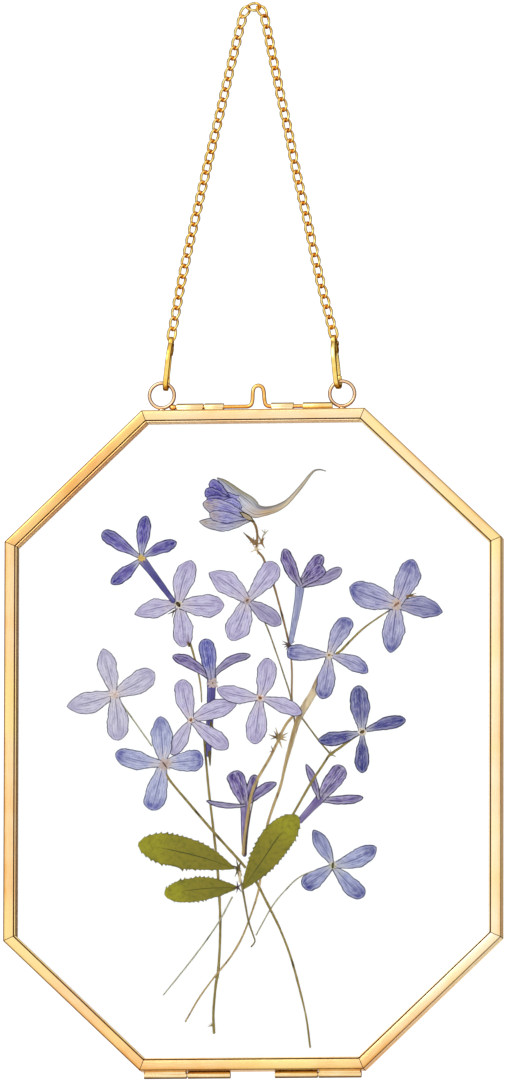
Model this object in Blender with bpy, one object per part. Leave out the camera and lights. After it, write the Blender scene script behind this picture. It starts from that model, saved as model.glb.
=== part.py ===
"""Pressed flower frame: a hinged eight-sided brass frame with two panes, pressed delphiniums and a chain.

The origin is the point that the chain hangs from. X runs right, Y runs back and Z runs up.
Lengths below are millimetres, and everything is turned into metres where a shape is made.
"""

import math

import bmesh
import bpy
from mathutils import Matrix, Vector

MM = 0.001

# The frame's two halves.
FRAME_TOP = -121.0
FRAME_WIDTH = 150.0
FRAME_HEIGHT = 199.0
CORNER_ACROSS = 41.3
CORNER_DOWN = 39.3
FACE_WIDTH = 3.3
HALF_FRAME_NEAR = 0.15
HALF_FRAME_FAR = 4.0
MITRE_GAP = 0.07
GROOVE_NEAR = 0.75
GROOVE_FAR = 2.75
GROOVE_WALL = 0.9
PANE_NEAR = 0.85
PANE_FAR = 2.65
PANE_LAP = 1.8

# The barrels, their pins and the lock pin.
BARREL_RADIUS = 1.1
BORE_RADIUS = 0.68
BARREL_SIDES = 16
BARREL_HEIGHT = 1.15
BARREL_GAP = 0.3
FOOT_NEAR = 0.2
FOOT_FAR = 1.1
SOLDER_GAP = 0.06
HINGE_INNER = 6.7
HINGE_MIDDLE = 19.7
HINGE_OUTER = 32.7
PIN_RADIUS = 0.6
PIN_SIDES = 12
GUIDES = {
    "lock_guide_left": (-23.5, -15.35),
    "lock_guide_middle": (-15.05, -9.2),
    "lock_guide_right": (5.1, 11.9),
}
KEEPER = (14.7, 23.6)

# The rings and the clasps.
RING_RADIUS = 3.75
RING_WIRE = 0.5
RING_HEIGHT = 5.0
RING_DEPTH = 2.1
RING_PLACES = {"left": -28.2, "right": 26.3}
CLASP_OFFSET = 1.3
CLASP_THICKNESS = 1.8
CLASP_SLOT = 1.4
TRIGGER_THICKNESS = 1.1
TRIGGER_PIVOT = (1.2, 10.6)
CLASP_LEAN = {"left": 6.5, "right": -5.3}
CLASP_TURN = {"left": 0.0, "right": 8.0}

# The chain, from the left clasp over the hanging point to the right clasp.
CHAIN_RADIUS = 1.1
CHAIN_POINT_EVERY = 5.0
CHAIN_ROUTE = [
    (-25.0, 2.0, -97.2), (-21.5, 1.6, -80.0), (-17.8, 1.3, -63.7), (-14.0, 1.0, -47.6), (-10.2, 0.6, -31.7),
    (-7.3, 0.3, -19.2), (-5.1, 0.1, -9.9), (-3.6, 0.0, -3.8), (-2.4, 0.0, -0.1), (0.1, 0.0, 1.2),
    (2.3, 0.0, -0.1), (3.5, 0.0, -4.2), (5.3, 0.1, -12.0), (8.0, 0.5, -24.8), (10.7, 0.8, -37.4),
    (13.3, 1.0, -50.5), (16.3, 1.3, -63.7), (19.8, 1.7, -80.8), (23.3, 2.0, -97.6),
]

# The pressed plants lie in four layers, from the front pane (0) to the back pane (3).
FIELD_HEIGHT = -220.3
LAYER_DEPTHS = (-0.6, -0.2, 0.2, 0.6)
PETAL_THICKNESS = 0.2
STALK_THICKNESS = 0.3
PETAL_OUTLINE = ((0.3, 0.5), (0.55, 0.95), (0.76, 0.98), (0.92, 0.62))
FLOWER_EYE = 1.6

BRASS = ((0.80, 0.58, 0.36), 0.3, 1.0)
PINK_BRASS = ((0.83, 0.57, 0.42), 0.3, 1.0)
ORANGE_BRASS = ((0.85, 0.52, 0.20), 0.3, 1.0)
GOLD = ((0.90, 0.65, 0.16), 0.25, 1.0)
GLASS = ((0.93, 0.97, 0.96), 0.02, 0.0)
LILAC = ((0.68, 0.66, 0.82), 0.8, 0.0)
PERIWINKLE = ((0.42, 0.43, 0.74), 0.8, 0.0)
VIOLET = ((0.30, 0.20, 0.52), 0.8, 0.0)
DEEP_BLUE = ((0.13, 0.12, 0.45), 0.8, 0.0)
OLIVE = ((0.40, 0.38, 0.14), 0.85, 0.0)
TAN = ((0.52, 0.38, 0.20), 0.85, 0.0)

# Each flower: layer, colour, centre, petals as (direction in degrees, length, width), and its stalks as
# (points from the flower outwards, width at the flower, width at the end). Places are measured from the
# middle of the frame, across and up.
FLOWERS = {
    "blossom_01_indigo": (1, DEEP_BLUE, (-33.9, 54.9),
                          [(-140, 12.0, 3.9), (24, 11.7, 4.2), (84, 12.9, 4.4), (146, 14.3, 4.2)],
                          [([(-33.6, 54.5), (-29.3, 48.6), (-25.0, 42.3)], 2.3, 1.6)]),
    "blossom_02_lilac": (3, LILAC, (-22.7, 40.9),
                         [(-168, 13.7, 5.4), (-83, 13.0, 5.9), (-2, 13.8, 6.9), (74, 13.8, 6.3)],
                         [([(-20.4, 32.6), (-18.5, 26.9), (-16.6, 19.6), (-15.9, 11.5), (-14.8, -0.8),
                            (-13.6, -14.0), (-11.9, -28.3), (-10.6, -41.0), (-9.9, -55.6), (-10.4, -68.7),
                            (-11.2, -73.8), (-11.9, -82.0), (-11.7, -88.2)], 1.0, 1.2)]),
    "blossom_03_lilac": (1, LILAC, (-1.9, 41.8),
                         [(-112, 13.0, 7.5), (-36, 12.6, 5.0), (52, 14.2, 6.6), (144, 14.4, 7.2)],
                         [([(-0.9, 40.4), (3.3, 35.3), (7.0, 25.6), (9.4, 18.5), (11.0, 13.5)], 0.7, 0.5)]),
    "blossom_04_violet_side": (0, VIOLET, (14.1, 46.1),
                               [(21, 13.5, 3.3), (52, 11.3, 3.9), (114, 12.2, 3.8)],
                               [([(14.1, 46.4), (12.9, 37.2), (11.3, 29.0), (10.7, 27.2)], 2.9, 1.3)]),
    "blossom_05_periwinkle": (1, PERIWINKLE, (43.1, 40.1),
                              [(-97, 14.7, 6.6), (-10, 14.2, 6.2), (70, 14.5, 7.1), (159, 15.2, 7.8)],
                              [([(41.8, 38.9), (37.6, 35.9), (33.1, 33.6), (29.3, 29.4), (26.4, 26.4)], 0.6, 1.1)]),
    "blossom_06_periwinkle": (2, PERIWINKLE, (22.8, 25.1),
                              [(-99, 13.4, 5.4), (-24, 12.9, 4.5), (61, 12.7, 5.7), (175, 12.8, 4.7)],
                              [([(20.4, 18.4), (18.3, 14.4), (15.0, 8.9), (13.0, 5.0)], 2.9, 1.0),
                               ([(14.2, 7.4), (12.6, 4.2), (10.6, -3.6), (8.3, -13.8), (6.0, -20.3),
                                 (4.2, -26.3), (2.8, -35.7), (1.6, -45.6), (-1.3, -54.7), (-3.8, -60.6),
                                 (-7.2, -66.1), (-11.4, -71.2), (-16.1, -77.6), (-20.3, -84.8)], 1.0, 0.6)]),
    "blossom_07_lilac": (2, LILAC, (-42.0, 13.9),
                         [(-166, 14.8, 6.5), (-85, 14.0, 6.3), (28, 13.8, 7.1), (104, 14.3, 5.7)],
                         [([(-41.4, 13.2), (-37.0, 7.2), (-33.6, 2.4), (-30.7, -1.7)], 0.6, 0.6)]),
    "blossom_08_blue_side": (2, PERIWINKLE, (-12.7, 18.3),
                             [(31, 13.8, 2.7), (99, 12.3, 5.1), (149, 13.7, 2.9)],
                             [([(-12.7, 18.6), (-13.0, 10.2), (-13.3, 2.9), (-13.5, -4.6)], 3.1, 1.5)]),
    "blossom_09_lilac": (1, LILAC, (-18.8, 5.9),
                         [(-119, 12.0, 4.5), (-38, 14.2, 5.1), (19, 14.6, 5.7), (103, 12.6, 5.7)], []),
    "blossom_10_lilac": (0, LILAC, (2.1, 12.3),
                         [(-97, 14.0, 6.0), (-21, 13.6, 4.5), (79, 12.3, 5.9), (168, 13.4, 5.1)], []),
    "blossom_11_periwinkle": (0, PERIWINKLE, (-27.0, -7.2),
                              [(-104, 14.5, 6.5), (5, 12.1, 6.3), (94, 14.3, 6.3), (168, 14.9, 5.7)],
                              [([(-26.6, -8.4), (-25.4, -11.8), (-18.8, -19.8), (-11.5, -28.3), (-4.2, -36.4),
                                 (-2.1, -39.1), (1.2, -43.7), (5.5, -51.8), (8.4, -57.8), (11.4, -65.7),
                                 (14.0, -75.0), (16.1, -83.9), (17.3, -92.8)], 0.8, 0.9)]),
    "blossom_12_deep_blue": (0, DEEP_BLUE, (32.9, 1.8),
                             [(-169, 13.6, 4.2), (-90, 12.4, 4.2), (15, 13.6, 4.0), (95, 14.1, 5.9)],
                             [([(32.0, 1.2), (29.6, -0.4), (26.0, -3.0), (23.1, -5.0), (21.2, -7.8),
                                (17.5, -13.4), (12.2, -22.6)], 0.7, 0.8),
                              ([(23.4, -4.9), (20.6, -2.4), (15.6, 4.6)], 0.7, 0.5)]),
    "blossom_13_violet_side": (2, VIOLET, (-2.3, -19.9),
                               [(36, 11.5, 3.0), (72, 9.7, 3.0), (109, 10.5, 5.4), (172, 12.0, 1.8)],
                               [([(-2.3, -19.6), (-2.5, -27.2), (-2.6, -34.9)], 2.7, 1.2)]),
    "blossom_14_violet_side": (2, VIOLET, (19.8, -18.4),
                               [(2, 13.4, 2.6), (54, 12.0, 5.4), (110, 11.5, 2.1)],
                               [([(20.0, -18.2), (17.0, -21.6), (14.4, -24.4)], 2.5, 1.7)]),
    "blossom_15_blue": (3, PERIWINKLE, (24.0, -38.2),
                        [(-145, 11.1, 5.1), (-46, 13.3, 5.1), (22, 14.2, 5.7), (119, 12.3, 4.4)],
                        [([(22.6, -38.6), (14.5, -41.3), (9.6, -45.6), (5.5, -50.7), (0.9, -58.9)], 0.6, 0.6)]),
}

# The spurred flower at the top: its outline, its spur and its stalk.
SPURRED_LAYER = 3
SPURRED_OUTLINE = [
    (-10.9, 78.9), (-5.3, 75.6), (-1.7, 72.8), (1.0, 70.5), (0.4, 66.3), (-2.0, 64.5), (-6.5, 63.1),
    (-12.3, 62.7), (-16.7, 65.8), (-13.5, 67.5), (-15.7, 71.1), (-15.0, 75.0), (-13.6, 78.2),
]
SPUR = (
    [(-1.6, 69.0), (4.4, 68.7), (7.3, 69.5), (10.1, 71.6), (14.9, 76.3), (18.2, 80.5), (21.3, 80.7)], 2.8, 0.6)
SPURRED_STALK = ([(-2.9, 65.6), (0.1, 63.6), (1.0, 60.0), (2.5, 55.4), (3.9, 51.5), (5.6, 47.6), (8.6, 37.0),
                  (10.8, 27.7), (11.5, 20.9), (11.5, 13.0)], 1.2, 0.7)

# Loose stalks: layer, points, width at the start and at the end.
STALKS = {
    "stalk_thorny": (1, [(10.0, 5.2), (6.9, -1.8), (5.1, -5.5), (0.9, -12.9), (-0.9, -18.4), (-2.5, -29.1),
                         (-3.0, -34.6)], 1.4, 1.2),
    "stalk_grey": (2, [(-6.3, -47.5), (-10.6, -55.4), (-17.4, -64.9), (-26.9, -76.7)], 0.9, 0.5),
    "stalk_curled": (0, [(-5.0, -38.9), (-4.1, -41.1), (-3.4, -43.7), (-2.2, -49.9), (-1.3, -54.7),
                         (0.2, -59.2), (0.7, -61.0), (-0.4, -62.5)], 0.7, 0.5),
}

# Leaves: layer, midrib from the stalk end to the tip, greatest width.
LEAVES = {
    "leaf_upper_left": (1, [(-5.3, -39.0), (-14.7, -35.7), (-24.6, -33.2), (-34.6, -31.3)], 9.6),
    "leaf_lower_left": (1, [(-4.1, -44.6), (-14.7, -44.9), (-26.7, -46.4)], 7.3),
    "leaf_right": (1, [(-1.5, -43.8), (3.1, -36.3), (7.6, -29.7), (13.5, -23.2)], 9.2),
}
LEAF_OUTLINE = ((0.0, 0.1), (0.1, 0.55), (0.27, 0.92), (0.5, 1.0), (0.75, 0.93), (0.92, 0.6), (1.0, 0.1))


def clear_scene():
    for thing in list(bpy.data.objects):
        bpy.data.objects.remove(thing)


def new_collection(name):
    collection = bpy.data.collections.new(name)
    bpy.context.scene.collection.children.link(collection)
    return collection


clear_scene()
PARTS = new_collection("pressed_flower_frame")
CUTTERS = new_collection("cutters")


def material(name, look):
    colour, roughness, metallic = look
    made = bpy.data.materials.new(name + "_material")
    made.use_nodes = True
    shader = made.node_tree.nodes["Principled BSDF"]
    shader.inputs["Base Color"].default_value = (*colour, 1.0)
    shader.inputs["Roughness"].default_value = roughness
    shader.inputs["Metallic"].default_value = metallic
    return made


def mesh_object(name, mesh, look=None):
    """A part where a look is given, and otherwise a shape that only cuts or joins."""
    made = bpy.data.objects.new(name, mesh)
    if look is None:
        CUTTERS.objects.link(made)
        made.hide_render = True
        made.display_type = "WIRE"
    else:
        PARTS.objects.link(made)
        mesh.materials.append(material(name, look))
    return made


def from_curve(name, curve, placing, look):
    """Turns a curve into a welded mesh object and drops the curve."""
    holder = bpy.data.objects.new(name + "_curve", curve)
    bpy.context.scene.collection.objects.link(holder)
    holder.matrix_world = placing
    bpy.context.view_layer.update()
    evaluated = holder.evaluated_get(bpy.context.evaluated_depsgraph_get())
    mesh = bpy.data.meshes.new_from_object(evaluated)
    shape = bmesh.new()
    shape.from_mesh(mesh)
    bmesh.ops.remove_doubles(shape, verts=shape.verts, dist=0.000005)
    shape.to_mesh(mesh)
    shape.free()
    mesh.materials.clear()
    bpy.data.objects.remove(holder)
    made = mesh_object(name, mesh, look)
    made.matrix_world = placing
    return made


def spline_curve(name, points, cyclic, dimensions):
    curve = bpy.data.curves.new(name, "CURVE")
    curve.dimensions = dimensions
    spline = curve.splines.new("POLY")
    spline.points.add(len(points) - 1)
    for corner, place in zip(spline.points, points):
        corner.co = (*(Vector(place).to_3d() * MM), 1.0)
    spline.use_cyclic_u = cyclic
    return curve


def upright(depth):
    """Places a drawing so that its own X and Y are the frame's X and Z, at a depth."""
    return Matrix.Translation((0.0, depth * MM, 0.0)) @ Matrix.Rotation(math.radians(90), 4, "X")


def plate(name, outline, thickness, placing, look=None):
    """A flat outline with a thickness, spread evenly to both sides of its plane."""
    curve = spline_curve(name, outline, True, "2D")
    curve.fill_mode = "BOTH"
    curve.extrude = thickness / 2 * MM
    return from_curve(name, curve, placing, look)


def frame_plate(name, outline, side, near, far, look=None):
    """A plate of one half of the frame: side is -1 for the front half and 1 for the back half."""
    return plate(name, outline, far - near, upright(side * (near + far) / 2), look)


def wire(name, points, radius, look):
    curve = spline_curve(name, points, False, "3D")
    curve.bevel_depth = radius * MM
    curve.bevel_resolution = 2
    curve.use_fill_caps = True
    return from_curve(name, curve, Matrix.Identity(4), look)


def rod(name, start, end, centre, radius, sides, look=None):
    """A round bar along X, from start to end, with its axis through centre = (Y, Z)."""
    shape = bmesh.new()
    bmesh.ops.create_cone(shape, cap_ends=True, segments=sides, radius1=radius * MM, radius2=radius * MM,
                          depth=(end - start) * MM, matrix=Matrix.Rotation(math.radians(90), 4, "Y"))
    mesh = bpy.data.meshes.new(name)
    shape.to_mesh(mesh)
    shape.free()
    made = mesh_object(name, mesh, look)
    made.location = Vector(((start + end) / 2, *centre)) * MM
    return made


def block(name, low, high, look=None):
    shape = bmesh.new()
    size = Vector(high) - Vector(low)
    bmesh.ops.create_cube(shape, size=1.0, matrix=Matrix.Diagonal((*(size * MM), 1.0)))
    mesh = bpy.data.meshes.new(name)
    shape.to_mesh(mesh)
    shape.free()
    made = mesh_object(name, mesh, look)
    made.location = (Vector(low) + Vector(high)) / 2 * MM
    return made


def combine(part, operation, other):
    step = part.modifiers.new(operation.lower(), "BOOLEAN")
    step.operation = operation
    step.solver = "EXACT"
    step.object = other


def pivot(name, place, parts, above=None):
    """An empty on a joint's axis, which carries the parts that move on it."""
    carrier = bpy.data.objects.new(name, None)
    PARTS.objects.link(carrier)
    carrier.location = place
    bpy.context.view_layer.update()
    for part in parts:
        part.parent = carrier
        part.matrix_parent_inverse = carrier.matrix_world.inverted()
    if above:
        carrier.parent = above
        carrier.matrix_parent_inverse = above.matrix_world.inverted()
    return carrier


def smooth(points, every):
    """Points at an even spacing along a Catmull-Rom curve through the given points."""
    route = [Vector(place) for place in points]
    route = [2 * route[0] - route[1], *route, 2 * route[-1] - route[-2]]
    out = []
    for before, start, end, after in zip(route, route[1:], route[2:], route[3:]):
        steps = max(1, round((end - start).length / every))
        for step in range(steps):
            t = step / steps
            bend = 2 * before - 5 * start + 4 * end - after
            turn = 3 * start - before - 3 * end + after
            out.append(0.5 * (2 * start + (end - before) * t + bend * t * t + turn * t ** 3))
    return out + [route[-2]]


def ribbon(points, width_at, every):
    """The outline of a band along a smooth line, with its width given for each share of the way."""
    line = smooth(points, every)
    left = []
    right = []
    for index, place in enumerate(line):
        ahead = line[min(index + 1, len(line) - 1)] - line[max(index - 1, 0)]
        across = Vector((-ahead.y, ahead.x)).normalized() * width_at(index / (len(line) - 1)) / 2
        left.append(place + across)
        right.append(place - across)
    return right + left[::-1]


def taper(start, end):
    return lambda share: start + (end - start) * share


def octagon(inset):
    """The corners of the frame's outline, moved inwards by inset, clockwise from the top left."""
    half_width = FRAME_WIDTH / 2 - inset
    half_height = FRAME_HEIGHT / 2 - inset
    slant = math.hypot(CORNER_ACROSS, CORNER_DOWN)
    side_down = FRAME_HEIGHT / 2 - CORNER_DOWN
    reach = (CORNER_DOWN * FRAME_WIDTH / 2 + CORNER_ACROSS * side_down) / slant - inset
    across = (reach * slant - CORNER_ACROSS * half_height) / CORNER_DOWN
    up = (reach * slant - CORNER_DOWN * half_width) / CORNER_ACROSS
    middle = FRAME_TOP - FRAME_HEIGHT / 2
    quarter = [(across, half_height), (half_width, up)]
    corners = [(-x, z) for x, z in quarter[:1]] + quarter
    corners += [(half_width, -up), (across, -half_height), (-across, -half_height), (-half_width, -up),
                (-half_width, up)]
    return [Vector((x, middle + z)) for x, z in corners]


BAR_NAMES = ("top", "top_right", "right", "bottom_right", "bottom", "bottom_left", "left", "top_left")


def frame_half(half, side):
    """Eight mitred bars with a groove for the glass, and the pane that the groove holds."""
    outer = octagon(0.0)
    inner = octagon(FACE_WIDTH)
    groove = frame_plate(half + "_groove", octagon(GROOVE_WALL), side, GROOVE_NEAR, GROOVE_FAR)
    parts = []
    for index, bar_name in enumerate(BAR_NAMES):
        after = (index + 1) % len(outer)
        trim = (outer[after] - outer[index]).normalized() * MITRE_GAP
        corners = [outer[index] + trim, outer[after] - trim, inner[after] - trim, inner[index] + trim]
        bar = frame_plate(f"{half}_bar_{bar_name}", corners, side, HALF_FRAME_NEAR, HALF_FRAME_FAR, BRASS)
        combine(bar, "DIFFERENCE", groove)
        parts.append(bar)
    pane = octagon(FACE_WIDTH - PANE_LAP)
    parts.append(frame_plate(half + "_pane", pane, side, PANE_NEAR, PANE_FAR, GLASS))
    return parts


def barrel(name, start, end, height, side, bar_height, look):
    """A tube on the frame's edge, with the foot that solders it to one half of the frame."""
    tube = rod(name, start, end, (0.0, height), BARREL_RADIUS, BARREL_SIDES, look)
    depths = sorted((side * FOOT_NEAR, side * FOOT_FAR))
    heights = sorted((height, bar_height + math.copysign(SOLDER_GAP, height - bar_height)))
    foot = block(name + "_foot", (start, depths[0], heights[0]), (end, depths[1], heights[1]))
    bore = rod(name + "_bore", start - 1, end + 1, (0.0, height), BORE_RADIUS, BARREL_SIDES)
    combine(tube, "UNION", foot)
    combine(tube, "DIFFERENCE", bore)
    return tube


def bottom_hinges():
    """Two hinges on the bottom edge: the front half has the outer barrels, the back half the others."""
    edge = FRAME_TOP - FRAME_HEIGHT
    height = edge - BARREL_HEIGHT
    front_parts = []
    for place, side in (("left", -1), ("right", 1)):
        outer = sorted((side * (HINGE_MIDDLE + BARREL_GAP / 2), side * HINGE_OUTER))
        inner = sorted((side * HINGE_INNER, side * (HINGE_MIDDLE - BARREL_GAP / 2)))
        pin = sorted((side * (HINGE_INNER - 0.1), side * (HINGE_OUTER + 0.1)))
        front_parts.append(barrel(f"front_hinge_barrel_{place}", *outer, height, -1, edge, BRASS))
        barrel(f"back_hinge_barrel_{place}", *inner, height, 1, edge, BRASS)
        rod(f"hinge_pin_{place}", *pin, (0.0, height), PIN_RADIUS, PIN_SIDES, BRASS)
    return front_parts, Vector((0.0, 0.0, height)) * MM


def top_lock():
    """A bent wire slides through three guides on the front half into a keeper on the back half."""
    height = FRAME_TOP + BARREL_HEIGHT
    guides = [barrel(name, *ends, height, -1, FRAME_TOP, BRASS) for name, ends in GUIDES.items()]
    barrel("lock_keeper", *KEEPER, height, 1, FRAME_TOP, ORANGE_BRASS)
    hump = [(-2.6, 0.0), (-1.4, 0.5), (-0.8, 1.9), (-0.5, 4.2), (0.1, 5.8), (1.3, 6.4), (2.4, 5.7), (2.9, 4.1),
            (3.3, 2.1), (3.9, 0.6), (4.9, 0.0)]
    points = [(-24.6, 0.0), *(tuple(place) for place in smooth(hump, 0.9)), (20.6, 0.0)]
    lock_pin = wire("lock_pin", [(x, 0.0, height + z) for x, z in points], PIN_RADIUS, ORANGE_BRASS)
    return guides, lock_pin, Vector((0.0, 0.0, height)) * MM


def ring(place):
    """A wire ring that stands on the back half of the frame on a drop of solder."""
    centre = Vector((RING_PLACES[place], RING_DEPTH, FRAME_TOP + RING_HEIGHT)) * MM
    bpy.ops.mesh.primitive_torus_add(major_segments=28, minor_segments=8, major_radius=RING_RADIUS * MM,
                                     minor_radius=RING_WIRE * MM, location=centre,
                                     rotation=(math.radians(90), 0.0, 0.0))
    made = bpy.context.object
    made.name = f"ring_{place}"
    for collection in list(made.users_collection):
        collection.objects.unlink(made)
    PARTS.objects.link(made)
    made.data.materials.append(material(made.name, PINK_BRASS))
    across = RING_PLACES[place]
    foot = block(f"ring_{place}_foot", (across - 0.9, RING_DEPTH - 0.45, FRAME_TOP + SOLDER_GAP),
                 (across + 0.9, RING_DEPTH + 0.45, FRAME_TOP + 1.05))
    combine(made, "UNION", foot)


def disc(centre, radius, corners):
    turns = [2 * math.pi * step / corners for step in range(corners)]
    return [(centre[0] + radius * math.cos(a), centre[1] + radius * math.sin(a)) for a in turns]


def clasp_placing(place):
    """The clasp's drawing has the wire of the ring at (0, 0), the back of the frame at +X and up at +Y."""
    towards_middle = -math.copysign(1.0, RING_PLACES[place])
    drop = math.sqrt(RING_RADIUS ** 2 - CLASP_OFFSET ** 2)
    across = RING_PLACES[place] + towards_middle * CLASP_OFFSET
    rest = Vector((across, RING_DEPTH, FRAME_TOP + RING_HEIGHT + drop))
    drawing = Matrix(((0, 0, 1, 0), (1, 0, 0, 0), (0, 1, 0, 0), (0, 0, 0, 1)))
    lean = Matrix.Rotation(math.radians(CLASP_LEAN[place]), 4, "Y")
    turn = Matrix.Rotation(math.radians(-CLASP_TURN[place]), 4, "Z")
    return Matrix.Translation(rest * MM) @ lean @ turn @ drawing


def clasp(place):
    """A lobster clasp: a hooked body with an eye, and a sprung trigger that closes the hook."""
    placing = clasp_placing(place)
    hook_radius = 2.55
    turns = [math.radians(20 - 25 * step) for step in range(9)]
    across, up = (0.0, 1.0)
    hook = [(across + hook_radius * math.cos(turn), up + hook_radius * math.sin(turn)) for turn in turns]
    spine = hook + [(-2.55, 4.0), (-2.5, 7.3), (-2.0, 9.4), (-1.1, 11.2), (-0.2, 12.4)]
    eye = (0.0, 12.6)
    body = plate(f"clasp_body_{place}", ribbon(spine, taper(0.85, 2.3), 1.1), CLASP_THICKNESS, placing, GOLD)
    combine(body, "UNION", plate("clasp_eye", disc(eye, 1.75, 16), CLASP_THICKNESS + 0.1, placing))
    shoulder = disc((0.5, 10.2), 1.9, 16)
    combine(body, "UNION", plate("clasp_shoulder", shoulder, CLASP_THICKNESS + 0.2, placing))
    combine(body, "DIFFERENCE", plate("clasp_eye_hole", disc(eye, 0.85, 12), CLASP_THICKNESS + 2, placing))
    slot = [(0.15, 7.9), (3.4, 7.9), (3.4, 12.0), (1.2, 12.0), (0.15, 11.4)]
    combine(body, "DIFFERENCE", plate("clasp_slot", slot, CLASP_SLOT, placing))
    arm = [TRIGGER_PIVOT, (1.85, 8.2), (2.35, 5.4), (2.45, 2.5)]
    arm = ribbon(arm, taper(1.5, 0.9), 1.6)
    trigger = plate(f"clasp_trigger_{place}", arm, TRIGGER_THICKNESS, placing, GOLD)
    tab = plate("clasp_tab", ribbon([TRIGGER_PIVOT, (2.5, 11.3), (3.5, 12.5)], taper(1.3, 0.9), 1.2),
                TRIGGER_THICKNESS - 0.1, placing)
    combine(trigger, "UNION", tab)
    pivot(f"clasp_pivot_{place}", placing @ (Vector((*TRIGGER_PIVOT, 0.0)) * MM), [trigger])


def chain():
    """The outer shape of the curb chain, as one bar along the chain's way."""
    wire("chain", smooth(CHAIN_ROUTE, CHAIN_POINT_EVERY), CHAIN_RADIUS, GOLD)


def on_field(points):
    return [Vector((x, FIELD_HEIGHT + z)) for x, z in points]


def blossom_outline(centre, petals):
    """Petals around an eye, as one closed line: each petal widens, rounds off and comes back."""
    petals = sorted(petals)
    outline = []
    for index, (direction, length, width) in enumerate(petals):
        before = (direction - petals[index - 1][0]) % 360 / 2
        after = (petals[(index + 1) % len(petals)][0] - direction) % 360 / 2
        sides = []
        for along, across in PETAL_OUTLINE:
            offset = math.degrees(math.atan2(across * width / 2, along * length))
            sides.append((math.hypot(along * length, across * width / 2), offset))
        outline += [(reach, direction - min(offset, before - 1)) for reach, offset in sides]
        outline.append((length, direction))
        outline += [(reach, direction + min(offset, after - 1)) for reach, offset in sides[::-1]]
        outline.append((FLOWER_EYE, direction + min(after, 60)))
        if after > 60:
            outline.append((FLOWER_EYE, direction + 2 * after - 60))
    middle = on_field([centre])[0]
    corners = [(reach, math.radians(turn)) for reach, turn in outline]
    return [middle + Vector((math.cos(turn), math.sin(turn))) * reach for reach, turn in corners]


def add_stalks(flower, layer, stalks):
    for number, (points, start, end) in enumerate(stalks):
        band = ribbon(on_field(points), taper(start, end), 4.0)
        stalk = plate(f"{flower.name}_stalk_{number}", band, STALK_THICKNESS + 0.1 * number,
                      upright(LAYER_DEPTHS[layer]))
        combine(flower, "UNION", stalk)


def pressed_plants():
    for name, (layer, look, centre, petals, stalks) in FLOWERS.items():
        outline = blossom_outline(centre, petals)
        flower = plate(name, outline, PETAL_THICKNESS, upright(LAYER_DEPTHS[layer]), look)
        add_stalks(flower, layer, stalks)
    spurred = plate("larkspur_flower", on_field(SPURRED_OUTLINE), PETAL_THICKNESS,
                    upright(LAYER_DEPTHS[SPURRED_LAYER]), PERIWINKLE)
    add_stalks(spurred, SPURRED_LAYER, [SPUR, SPURRED_STALK])
    for name, (layer, points, start, end) in STALKS.items():
        band = ribbon(on_field(points), taper(start, end), 4.0)
        plate(name, band, STALK_THICKNESS, upright(LAYER_DEPTHS[layer]), TAN)
    for name, (layer, midrib, width) in LEAVES.items():

        def width_at(share):
            for (low, narrow), (high, wide) in zip(LEAF_OUTLINE, LEAF_OUTLINE[1:]):
                if share <= high:
                    return width * (narrow + (wide - narrow) * (share - low) / (high - low))

        band = ribbon(on_field(midrib), width_at, 3.0)
        plate(name, band, PETAL_THICKNESS, upright(LAYER_DEPTHS[layer]), OLIVE)


def main():
    frame_half("back", 1)
    front_parts = frame_half("front", -1)
    hinge_parts, hinge_place = bottom_hinges()
    guides, lock_pin, lock_place = top_lock()
    front_half = pivot("front_half_pivot", hinge_place, front_parts + hinge_parts + guides)
    pivot("lock_pin_slide", lock_place, [lock_pin], front_half)
    for place in RING_PLACES:
        ring(place)
        clasp(place)
    chain()
    pressed_plants()


main()
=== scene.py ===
import math
import random

import bmesh
import bpy
from mathutils import Matrix, Vector, noise


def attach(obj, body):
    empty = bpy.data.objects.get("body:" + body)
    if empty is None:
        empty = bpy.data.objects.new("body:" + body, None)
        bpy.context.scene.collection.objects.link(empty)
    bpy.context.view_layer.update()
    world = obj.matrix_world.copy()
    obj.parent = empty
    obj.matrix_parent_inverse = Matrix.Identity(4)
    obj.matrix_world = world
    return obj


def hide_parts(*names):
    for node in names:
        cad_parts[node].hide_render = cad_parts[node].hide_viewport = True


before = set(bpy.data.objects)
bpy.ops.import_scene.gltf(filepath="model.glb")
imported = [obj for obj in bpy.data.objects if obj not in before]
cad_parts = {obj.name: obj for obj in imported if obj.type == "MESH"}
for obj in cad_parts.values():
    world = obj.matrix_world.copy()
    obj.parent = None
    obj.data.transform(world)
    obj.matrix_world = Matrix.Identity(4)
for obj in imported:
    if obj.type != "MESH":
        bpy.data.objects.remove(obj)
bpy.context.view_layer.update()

# ---- The bars ---------------------------------------------------------------------------------
# Each half of the frame is eight lengths of brass channel, mitred and soldered into an octagon. The
# channel's groove holds the glass, its outer edge is rolled round and its faces are brushed along
# the bar. All sizes in this file are millimetres, and MM turns them into metres.
MM = 0.001
FRAME_TOP = -121.0
FRAME_WIDTH = 150.0
FRAME_HEIGHT = 199.0
CORNER_ACROSS = 41.3
CORNER_DOWN = 39.3
FACE_WIDTH = 3.3
MITRE_GAP = 0.11
MITRE_SPARE = 6.0
BAR_NAMES = ("top", "top_right", "right", "bottom_right", "bottom", "bottom_left", "left", "top_left")
HALVES = {"back": 1, "front": -1}
# The channel's section: inset from the outer edge, depth from the meeting plane, and how round it is.
CHANNEL = (
    (0.0, 0.15, 0.15), (0.0, 4.0, 0.75), (3.05, 4.0, 0.15), (3.05, 3.4, 0.0), (3.4, 3.4, 0.0),
            (3.4, 3.86, 0.06),
    (3.7, 3.86, 0.06), (3.7, 2.75, 0.06), (0.9, 2.75, 0.0), (0.9, 0.75, 0.0), (3.7, 0.75, 0.06),
            (3.7, 0.15, 0.06),
)
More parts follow.
